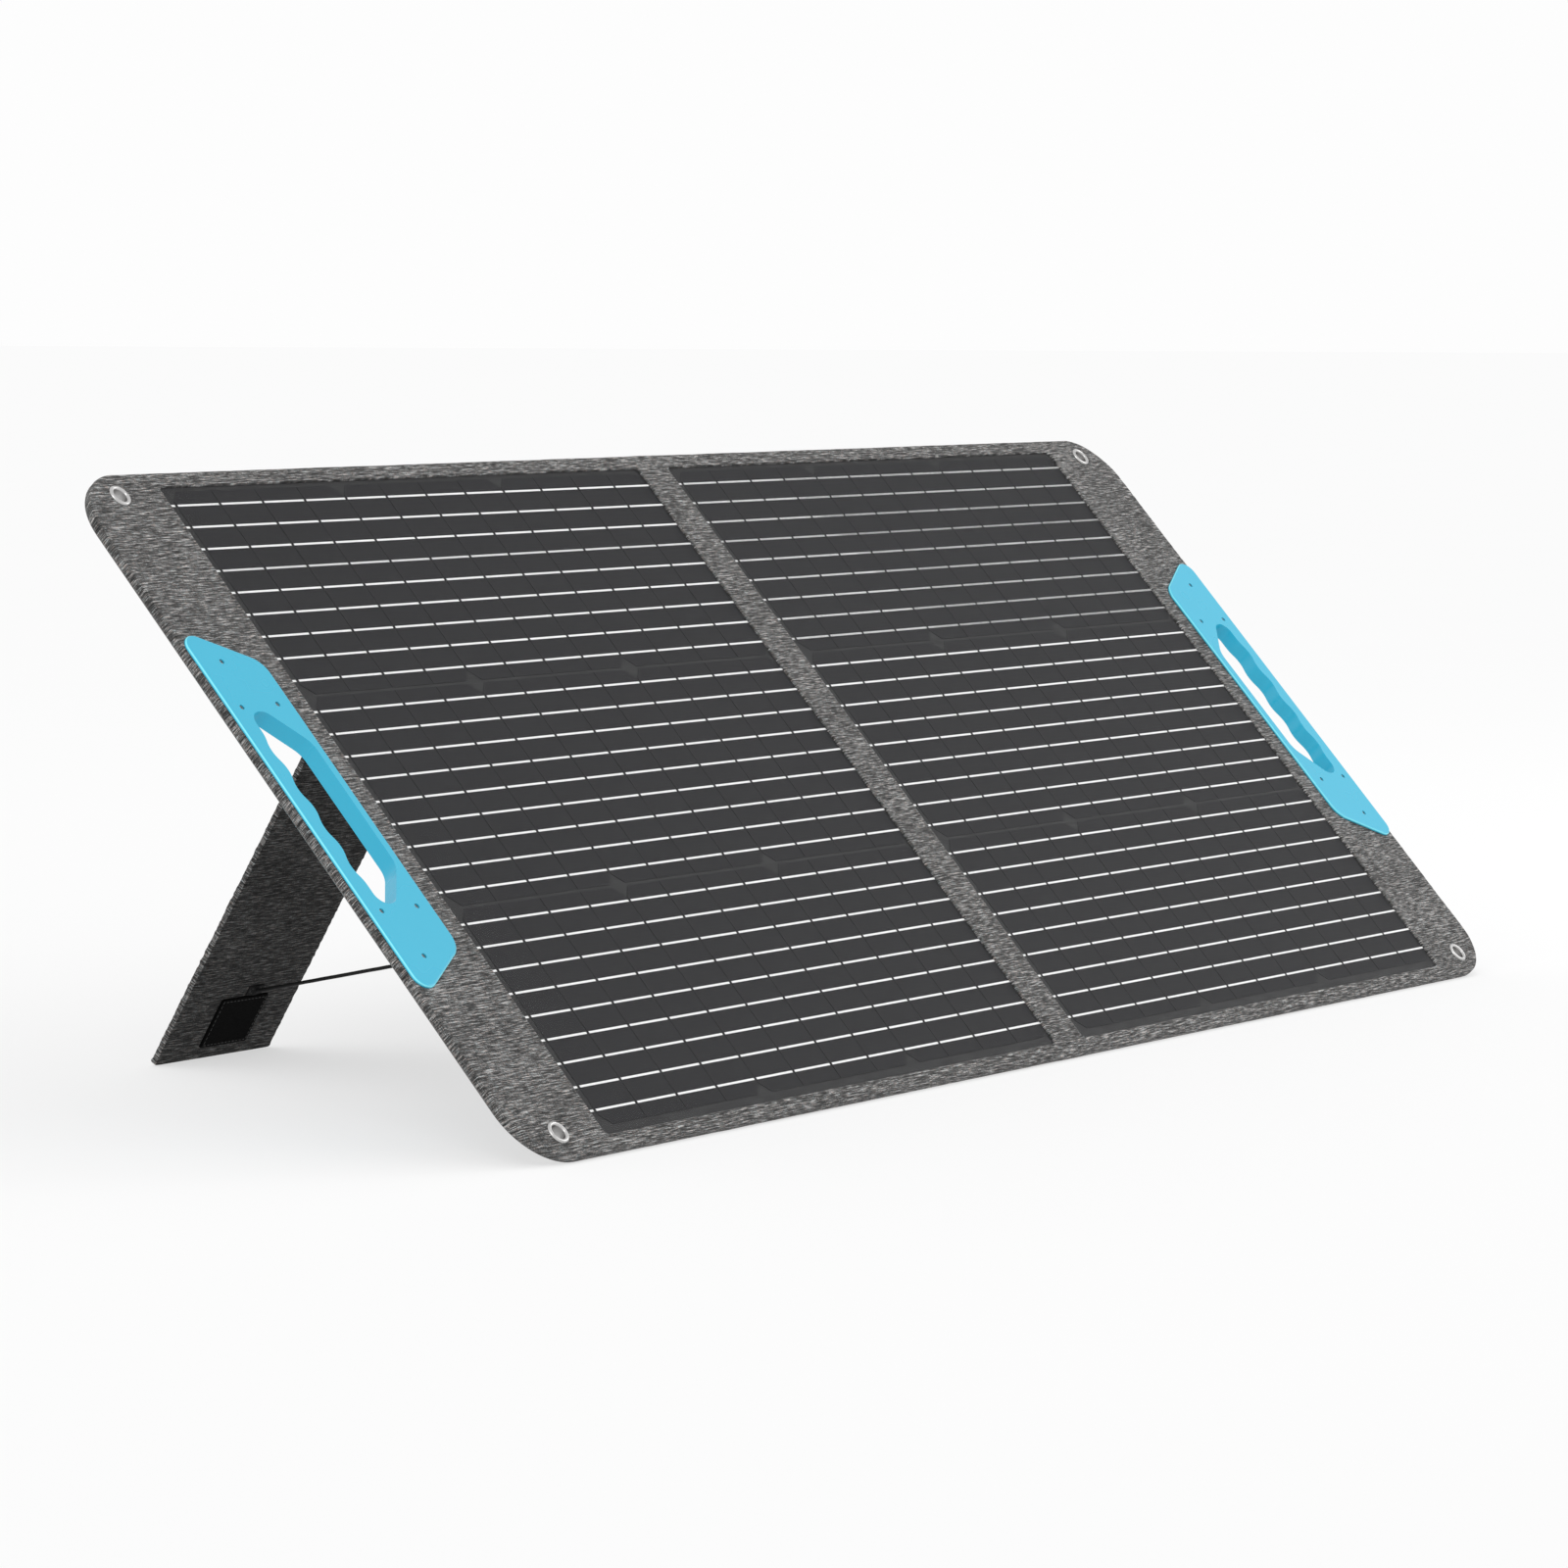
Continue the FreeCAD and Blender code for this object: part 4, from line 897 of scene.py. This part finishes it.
def edge_profile():
    """(inset, z) from the front face of a leaf round its edge to the back face."""
    profile = [(inset, COVER_FACE + level) for inset, level in FRONT_PROFILE]
    wall = BACK + BACK_ROUND
    shoulder = COVER_FACE - FRONT_ROUND
    profile += [(0.0, shoulder), (0.0, (shoulder + wall) / 2), (0.0, wall)]
    for angle in (15, 30, 45, 60, 75, 90):
        a = math.radians(angle)
        profile.append((BACK_ROUND * (1 - math.cos(a)), wall - BACK_ROUND * math.sin(a)))
    profile.append((EDGE_STRIP, BACK))
    return profile


SPINE_STEPS = 60  # points of a leaf's outline along the spine


def leaf_outline(inset):
    """Outline of the right leaf drawn in by an inset, except at the spine."""
    radius = CORNER - inset
    steps = 14
    corners = [
        (INNER, BOTTOM + inset, 0.0, 0),
        (OUTER - inset, BOTTOM + inset, radius, steps),
        (OUTER - inset, TOP - inset, radius, steps),
        (INNER, TOP - inset, 0.0, 0),
    ]
    return loop(corners, [90, 200, 90, SPINE_STEPS])


# (outset, z) of the hem round the window: up out of the leaf, over a rolled edge, to the cover.
HEM = [(0.0, -6.4), (0.0, -0.05), (0.0, 0.15), (0.1, 0.45), (0.4, 0.76), (0.9, 0.93)]
HEM += [(1.7, 0.95), (2.5, 0.86), (3.1, 0.68), (3.6, 0.72), (4.4, 0.8)]
HEM_WIDTH = HEM[-1][0]
# Edge of the window over the laminate, as a function of how far it is drawn in.
WINDOW_EDGE = box_outline(WINDOW[:2], WINDOW[2:], radius=4.0, spacing=6.4, steps=6)

HOLE_INNER_GAP = 3.6  # from the handle's inner edge to the hole
HOLE_OUTER_GAP = 8.4  # from the handle's outer edge to the hole
HOLE_SLANT = 23.0  # width of the slanting ends of the hole
HOLE_INNER_HALF = 50.0  # half length of the hole at its inner side
HOLE_OUTER_HALF = 78.3  # half length at its outer side
EYELET_RADIUS = 6.6
EYELET_SIDES = 24


def hand_hole_outline():
    """Hole in the cover round the sleeve of the handle, hidden under its plates."""
    inner = HANDLE_LOW[0] + HOLE_INNER_GAP
    outer = HANDLE_HIGH[0] - HOLE_OUTER_GAP
    shoulder = inner + HOLE_SLANT
    short = [(inner, HOLE_INNER_HALF, 14.0, 4)]
    long = [(shoulder, HOLE_OUTER_HALF, 10.0, 4), (outer, HOLE_OUTER_HALF, 9.0, 4)]
    lower = [(x, HANDLE_MID - half, radius, steps) for x, half, radius, steps in short + long]
    upper = [(x, HANDLE_MID + half, radius, steps) for x, half, radius, steps in short + long]
    return loop(lower + upper[::-1], [5, 4, 30, 4, 5, 20])


def eyelet_outlines():
    """Holes in the cover under the flanges of the grommets."""
    angles = [2 * math.pi * i / EYELET_SIDES for i in range(EYELET_SIDES)]
    round_hole = np.array([(math.cos(a), math.sin(a)) for a in angles]) * EYELET_RADIUS
    return [round_hole + np.array(centre) for centre in GROMMETS]


def rise(value, start, run):
    """0 up to a start, 1 a run further on, and even between them."""
    return min(max((value - start) / run, 0.0), 1.0)


def leaf_puff(point):
    """Slack of the cover: drawn in between its fixings, and pinched round the grommets."""
    x, y, z = point
    free = rise(x, INNER, 16.0)  # still beside the spine
    if z < BACK + 0.4:
        free *= rise(y, BOTTOM + 12.0, 10.0)  # still where the back stands on the floor
    aside = max(WINDOW[0] - x, x - WINDOW[2], 0.0)
    beyond = max(WINDOW[1] - y, y - WINDOW[3], 0.0)
    if z > BACK + 0.3:
        free *= rise(math.hypot(aside, beyond), HEM_WIDTH - 0.5, 7.0)  # still at the hem
    moved = -ripple(point, size=38.0, depth=0.34) - ripple(point, size=7.0, depth=0.08)
    if x > OUTER - 1.6:  # fine pleats across the turned edge
        pleat = noise.noise(Vector((0.0, y / 2.7, z / 12.0)))
        moved -= 0.34 * max(pleat + 0.3, 0.0)
    for centre_x, centre_y in GROMMETS:  # gathers round a pinched ring
        away = math.hypot(x - centre_x, y - centre_y)
        near = math.exp(-(((away - 8.0) / 3.0) ** 2))
        gathers = math.sin(11 * math.atan2(y - centre_y, x - centre_x))
        moved -= 0.35 * near * (0.6 + 0.4 * gathers)
    return moved * free


def make_leaf_cover(name, side):
    """Fabric envelope of a leaf: front with its window, turned edge and back."""
    shell = Shell()
    edge(shell, leaf_outline, edge_profile())
    rings = [ring_of(WINDOW_EDGE(-outset), level) for outset, level in HEM]
    loft(shell, rings, [WINDOW_EDGE(-outset) for outset, _ in HEM])
    fill(shell, WINDOW_EDGE(-HEM[0][0]), [], HEM[0][1], spacing=60.0)
    holes = [hand_hole_outline()] + eyelet_outlines()
    for hole in holes:
        loft(shell, [ring_of(hole, COVER_FACE), ring_of(hole, BACK)], [hole, hole])
    front = leaf_outline(EDGE_STRIP)
    fill(shell, front, [WINDOW_EDGE(-HEM_WIDTH)] + holes, COVER_FACE, spacing=5.5)
    fill(shell, front, holes, BACK, spacing=11.0)
    piece = make_piece(f"{name}_leaf_cover", shell, PANEL, side, puff=leaf_puff)
    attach(piece, f"{name}_leaf")
    nodes = ("front_cover", "back_cover", "edge_band", "bottom_hem")
    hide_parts(*[f"{name}_{node}" for node in nodes])
    rows = [leaf_outline(7.0)[: 1 - SPINE_STEPS]]
    sew(f"{name}_leaf_seam", rows, BACK + 0.02, -1, PANEL, side, f"{name}_leaf")


on_both_sides(make_leaf_cover)

# ------------ cloth across the joints


def ribbon(shell, path, thickness, columns, shares):
    """Cloth of a thickness that follows a path of (y, z) and spans columns of x.

    The path is the outer face, to its left as it runs. shares(column, step) is the turn's share.
    """
    path = np.array(path, float)
    step = np.gradient(path, axis=0)
    step /= np.linalg.norm(step, axis=1)[:, None]
    within = path + np.column_stack([-step[:, 1], step[:, 0]]) * -thickness
    lengths = np.concatenate([[0], np.cumsum(np.linalg.norm(np.diff(path, axis=0), axis=1))])
    loop_points = np.vstack([path, within[::-1]])
    loop_lengths = np.concatenate([lengths, lengths[::-1]])
    steps = [*range(len(path)), *reversed(range(len(path)))]
    rings = [[(x, y, z) for y, z in loop_points] for x in columns]
    cloth = [[(x, run + path[0][0]) for run in loop_lengths] for x in columns]
    weights = [shares(x, index) for x in columns for index in steps]
    first = len(shell.points)
    loft(shell, rings, cloth, weights)
    count = len(loop_points)
    for base in (first, first + count * (len(columns) - 1)):
        for i in range(len(path) - 1):
            shell.faces.append(
                (base + i, base + i + 1, base + count - 2 - i, base + count - 1 - i)
            )


def bend_at_spine(piece, name, side, shares, reach, level):
    """Blends a piece from its leaf to the spine, from the first x of its reach to the second."""
    start, end = [PANEL @ Vector((side * x, HANDLE_MID, level)) for x in reach]
    bend(piece, f"{name}_leaf", "spine", shares, start, end)


def front_strip_path():
    """(y, z) of the front cloth of the spine: round the lower edge, up the front, round the top."""
    turned = edge_profile()[:-3]
    low = [(BOTTOM + inset, level) for inset, level in turned[::-1]]
    high = [(TOP - inset, level) for inset, level in turned]
    rows = np.linspace(BOTTOM + EDGE_STRIP, TOP - EDGE_STRIP, 48)[1:-1]
    return low + [(y, COVER_FACE) for y in rows] + high


def make_front_strip(name, side):
    """Half of the cover over the spine, from the edge of a leaf to the middle."""
    shell = Shell()
    columns = np.linspace(0.0, INNER, 7)
    path = front_strip_path()
    ribbon(shell, path, COVER_FACE, columns, lambda x, step: 1.0 - x / INNER)
    turned = [point for point in path if point[0] <= BOTTOM + EDGE_STRIP]
    wrap = sum(math.dist(a, b) for a, b in zip(turned, turned[1:]))
    for place in shell.cloth:
        place[1] += BOTTOM + EDGE_STRIP - wrap - path[0][0]
    piece = make_piece(f"{name}_spine_front", shell, PANEL, side, weld=False)
    bend_at_spine(piece, name, side, shell.shares, (INNER, 0.0), 0.0)
    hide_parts("spine_front_strip")


SPINE_TAPE_EDGE = 23.0  # from the middle of the spine to the edge of its tape
SPINE_TAPE_ROUND = 0.35  # how far that edge is pressed down


def make_spine_tape(name, side):
    """Half of the cloth that the leaves fold about, with the margin sewn to the leaf."""
    shell = Shell()
    low, high = extent("spine_strip")
    columns = [0.0, 4.0]
    columns += [FOLD_X + aside for aside in (-1.6, -0.5, 0.0, 0.5, 1.6)]
    columns += [17.0, SPINE_TAPE_EDGE - 0.6, SPINE_TAPE_EDGE]
    path = [(y, low[2]) for y in np.linspace(high[1], low[1], 60)]

    def share(x, step):
        """Share of the fold, turning over a millimetre about the fold line."""
        return 1.0 - rise(x, FOLD_X - 0.5, 1.0)

    ribbon(shell, path, high[2] - low[2], columns, share)
    for point in shell.points:
        if point[0] == SPINE_TAPE_EDGE and point[2] < high[2] - 0.1:
            point[2] += SPINE_TAPE_ROUND
    piece = make_piece(f"{name}_spine_back", shell, PANEL, side, weld=False)
    bend_at_spine(piece, name, side, shell.shares, (FOLD_X + 1, FOLD_X - 1), BACK)
    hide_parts("spine_strip")
    rows = [[(x, low[1] + 4), (x, high[1] - 4)] for x in (FOLD_X + 3.2, SPINE_TAPE_EDGE - 2.6)]
    sew(f"{name}_spine_seam", rows, low[2], -1, PANEL, side, f"{name}_leaf")


CABLE_BEND = 3.4  # length of cable next to a leaf that bends when it folds
CABLE_WIDTH = 14.0


def make_cables(name, side):
    """Half of the flat cables that cross the spine, bending beside the leaf."""
    shell = Shell()
    low, high = extent("spine_cables")
    columns = np.append(0.0, np.linspace(INNER - CABLE_BEND, INNER, 6))

    def share(x, step):
        """Share of the fold, growing over the cable's bend."""
        return min((INNER - x) / CABLE_BEND, 1.0)

    for edge_y in (low[1], high[1] - CABLE_WIDTH):
        path = [(y, high[2]) for y in np.linspace(edge_y, edge_y + CABLE_WIDTH, 3)]
        ribbon(shell, path, high[2] - low[2], columns, share)
    look = CAD_LOOKS["cable_jacket"]
    piece = make_piece(f"{name}_spine_cables", shell, PANEL, side, look, weld=False)
    bend_at_spine(piece, name, side, shell.shares, (INNER, INNER - CABLE_BEND), low[2])
    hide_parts("spine_cables")


on_both_sides(make_cables, make_front_strip, make_spine_tape)

# ------------ kickstands

STAND_ROUND = 1.1  # rounding of a kickstand's edges
STAND_CORNER = 2.2


def stand_puff(point):
    """Slack of a kickstand's sleeve, gathered along its sides."""
    x, y, z = point
    from_side = min(abs(x - STAND_LOW[0]), abs(x - STAND_HIGH[0]))
    gather = math.exp(-((from_side / 4.0) ** 2))
    pleat = 0.5 + 0.8 * noise.noise(Vector((0.0, y / 2.9, z / 9.0)))
    calm = 1.0 if y > STAND_LOW[1] + 3.0 else 0.25
    return -(ripple(point, 30.0, 0.3) + gather * pleat * 0.8) * calm


def make_stand(name, side):
    """Sleeve of a kickstand, stitched round its outer face."""
    outline = box_outline(STAND_LOW, STAND_HIGH, radius=STAND_CORNER, spacing=2.0, steps=4)
    shell = Shell()
    rounds = (STAND_ROUND, STAND_ROUND)
    slab(shell, outline, (STAND_LOW[2], STAND_HIGH[2]), rounds, spacing=6.0)
    piece = make_piece(f"{name}_stand_sleeve", shell, STAND, side, STAND_FABRIC, puff=stand_puff)
    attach(piece, f"{name}_kickstand")
    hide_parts(f"{name}_stand_inner_cover", f"{name}_stand_outer_cover")
    rows = [closed(outline(5.0))]
    sew(f"{name}_stand_seam", rows, STAND_LOW[2] + 0.3, -1, STAND, side, f"{name}_kickstand")


TAPE_LOW = 2.6  # lower edge of the hinge tape above the hinge line
TAPE_HIGH = 29.2  # its upper edge
TAPE_THICK = 0.8
TAPE_STEPS = 9
FLAP = 11.0  # how far the hinge cloth runs down the outer face of the kickstand
FLAP_STEPS = 4
WEB_STEPS = 14
WEB_GAP = 0.6  # between the side of the hinge cloth and that of the kickstand


def web_path():
    """(y, z, share) of the outer face of the hinge cloth with the kickstand open, from the top."""
    tape = BACK - TAPE_THICK - HINGE.z
    path = [(y, tape, 0.0) for y in np.linspace(TAPE_HIGH, TAPE_LOW, TAPE_STEPS)]
    corner = Vector((STAND_HIGH[1] - HINGE.y + 0.5, STAND_LOW[2] - HINGE.z - 0.5))
    near = math.hypot(TAPE_LOW, tape)
    far = corner.length
    start = math.atan2(tape, TAPE_LOW)
    finish = math.atan2(corner.y, corner.x) + SWING
    for step in range(1, WEB_STEPS + 1):
        share = step / WEB_STEPS
        angle = start + (finish - start) * share
        radius = near + (far - near) * share
        path.append((radius * math.cos(angle), radius * math.sin(angle), share))
    for down in np.linspace(0.0, FLAP, FLAP_STEPS + 1)[1:]:
        flap = Matrix.Rotation(SWING, 2) @ Vector((corner.x - down, corner.y + 0.15))
        path.append((*flap, 1.0))
    return [(y + HINGE.y, z + HINGE.z, share) for y, z, share in path]


def make_web(name, side):
    """Cloth hinge of a kickstand: tape on the leaf, web, and flap on the outer face."""
    path = web_path()
    left, right = STAND_LOW[0] + WEB_GAP, STAND_HIGH[0] - WEB_GAP
    columns = [left, left + 0.8, *np.linspace(left + 4, right - 4, 15), right - 0.8, right]
    shell = Shell()
    face = [(y, z) for y, z, _ in path]
    ribbon(shell, face, TAPE_THICK, columns, lambda x, step: path[step][2])
    piece = make_piece(f"{name}_stand_hinge_cloth", shell, PANEL, side, weld=False)
    start = PANEL @ Vector((side * TETHER_X, *face[TAPE_STEPS - 1]))
    end = PANEL @ Vector((side * TETHER_X, *face[-FLAP_STEPS - 1]))
    bend(piece, f"{name}_leaf", f"{name}_kickstand", shell.shares, start, end)
    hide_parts(f"{name}_stand_hinge")
    lower = (left + 3, HINGE.y + TAPE_LOW + 4.5)
    upper = (right - 3, HINGE.y + TAPE_HIGH - 3)
    border = box_outline(lower, upper, radius=0.5, spacing=4.0, steps=1)
    rows = [closed(border(0.0)), border(4.0)[:4]]
    sew(f"{name}_stand_hinge_seam", rows, BACK - TAPE_THICK, -1, PANEL, side, f"{name}_leaf")
    down = STAND_HIGH[1] - FLAP + 3.5
    rows = [[(left + 3, down), (right - 3, down)]]
    level = STAND_LOW[2] - 1.0
    sew(f"{name}_stand_flap_seam", rows, level, -1, STAND, side, f"{name}_kickstand")


def make_pad(name, outline, levels, facing, placed, side, look, body, swell=None):
    """Thin sewn pad with rounded edges and a stitched border, on a surface facing up or down z.

    levels gives z at its base and at its face. swell(x, y) gives how far the face bulges.
    """
    shell = Shell()
    base, face = levels
    rounding = abs(face - base) * 0.55
    rounds = (0.05, rounding) if facing > 0 else (rounding, 0.05)
    slab(shell, outline, sorted(levels), rounds, spacing=2.0)
    if swell:
        for point in shell.points:
            if abs(point[2] - face) < 0.3:
                point[2] += facing * swell(point[0], point[1])
    piece = make_piece(name, shell, placed, side, look)
    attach(piece, body)
    rows = [closed(outline(2.2))]
    level = face + facing * 0.02
    sew(f"{name}_seam", rows, level, facing, placed, side, body, THREAD_BLACK)
    return piece


HUMP = 1.75  # how high a tab bulges over the end of its cord
HUMP_WIDTH = 2.4
HUMP_LENGTH = 3.4


def tab_swell(middle):
    """Hump of a sewn tab over the end of its cord."""

    def swell(x, y):
        """How far the tab bulges at a point of the flat frame."""
        aside = (x - TETHER_X) / HUMP_WIDTH
        beyond = (y - middle) / HUMP_LENGTH
        return HUMP * math.exp(-(aside**2)) * math.exp(-(beyond**2))

    return swell


def make_fastenings(name, side):
    """Touch-fastener patches and the sewn tabs that hold the tether."""
    leaf, stand = f"{name}_leaf", f"{name}_kickstand"
    face = STAND_HIGH[2]
    patch_top = PATCH_HIGH[1] - TAB_HEIGHT - 0.3
    patch = box_outline(PATCH_LOW, (PATCH_HIGH[0], patch_top), radius=1.5, spacing=3.0)
    levels = (face - 0.4, PATCH_HIGH[2])
    piece = make_pad(f"{name}_hook_pad", patch, levels, 1, STAND, side, HOOKS, stand)
    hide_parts(f"{name}_hook_patch")
    patch = box_outline(LOOP_LOW, LOOP_HIGH, radius=1.5, spacing=3.0)
    levels = (BACK + 0.4, LOOP_LOW[2])
    piece = make_pad(f"{name}_loop_pad", patch, levels, -1, PANEL, side, LOOPS, leaf)
    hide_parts(f"{name}_loop_patch")
    left, right = TETHER_X - TAB_WIDTH / 2, TETHER_X + TAB_WIDTH / 2
    lower, upper = (left, STAND_TAB_MID - 4), (right, STAND_TAB_MID + 4)
    tab = box_outline(lower, upper, radius=1.0, spacing=1.6)
    make_pad(
        f"{name}_stand_tab", tab, (face - 0.3, face + 0.7), 1, STAND, side, WEBBING,
        stand, tab_swell(STAND_TAB_MID),
    )
    lower, upper = (left, ANCHOR_LOW[1]), (right, ANCHOR_HIGH[1])
    tab = box_outline(lower, upper, radius=1.0, spacing=1.6)
    piece = make_pad(
        f"{name}_leaf_tab", tab, (BACK + 0.3, BACK - 0.7), -1, PANEL, side, WEBBING,
        leaf, tab_swell(ANCHOR_MID),
    )
    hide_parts(f"{name}_tether_anchor")


on_both_sides(make_stand, make_web, make_fastenings)

# ------------ floor and light

FLOOR_HALF = 60.0  # metres
FLOOR_ALBEDO = 0.345
FLOOR_GLOW = 0.585  # emission of the floor, which keeps the object's shadow pale


def make_floor():
    """Plain pale floor."""
    mesh = bpy.data.meshes.new("floor")
    corners = [(x * FLOOR_HALF, y * FLOOR_HALF, 0) for x, y in ((-1, -1), (1, -1), (1, 1), (-1, 1))]
    mesh.from_pydata(corners, [], [(0, 1, 2, 3)])
    made, tree, shader = new_material(
        "floor", Roughness=1.0, Specular_IOR_Level=0.0, Emission_Strength=FLOOR_GLOW
    )
    shader.inputs["Emission Color"].default_value = (1.0, 1.0, 1.0, 1.0)
    place = add(tree, "ShaderNodeTexCoord").outputs["Object"]
    stops = [(0.3, grey(FLOOR_ALBEDO * 0.998)), (0.7, grey(FLOOR_ALBEDO * 1.002))]
    coloured(tree, shader, noisy(tree, place, (3, 3, 3), 1.0), stops)
    mesh.materials.append(made)
    show("floor", mesh)


SUN_ENERGY = 0.55
SUN_ANGLE = math.radians(20)
SUN_SHINES = Vector((0.66, 0.36, -0.66))
SIDE_ENERGY = 13.0
SIDE_SIZE = 1.2
SIDE_AT = Vector((2.2, -1.6, 1.6))
SIDE_AIMED_AT = Vector((0.6, 0.0, 0.2))
SURROUND = (0.983, 0.983, 0.983, 1.0)


def make_lights():
    """Even white surroundings, a soft main light from the left and a weaker one from the right."""
    scene = bpy.context.scene
    scene.view_settings.view_transform = "Standard"
    world = bpy.data.worlds.new("studio")
    scene.world = world
    world.use_nodes = True
    surround = world.node_tree.nodes["Background"]
    surround.inputs["Color"].default_value = SURROUND
    surround.inputs["Strength"].default_value = 1.0
    key = bpy.data.lights.new("key", "SUN")
    key.energy = SUN_ENERGY
    key.angle = SUN_ANGLE
    aim(show("key", key), Vector((0, 0, 3)), SUN_SHINES)
    side = bpy.data.lights.new("side", "AREA")
    side.energy = SIDE_ENERGY
    side.size = SIDE_SIZE
    aim(show("side", side), SIDE_AT, SIDE_AIMED_AT - SIDE_AT)


make_floor()
make_lights()
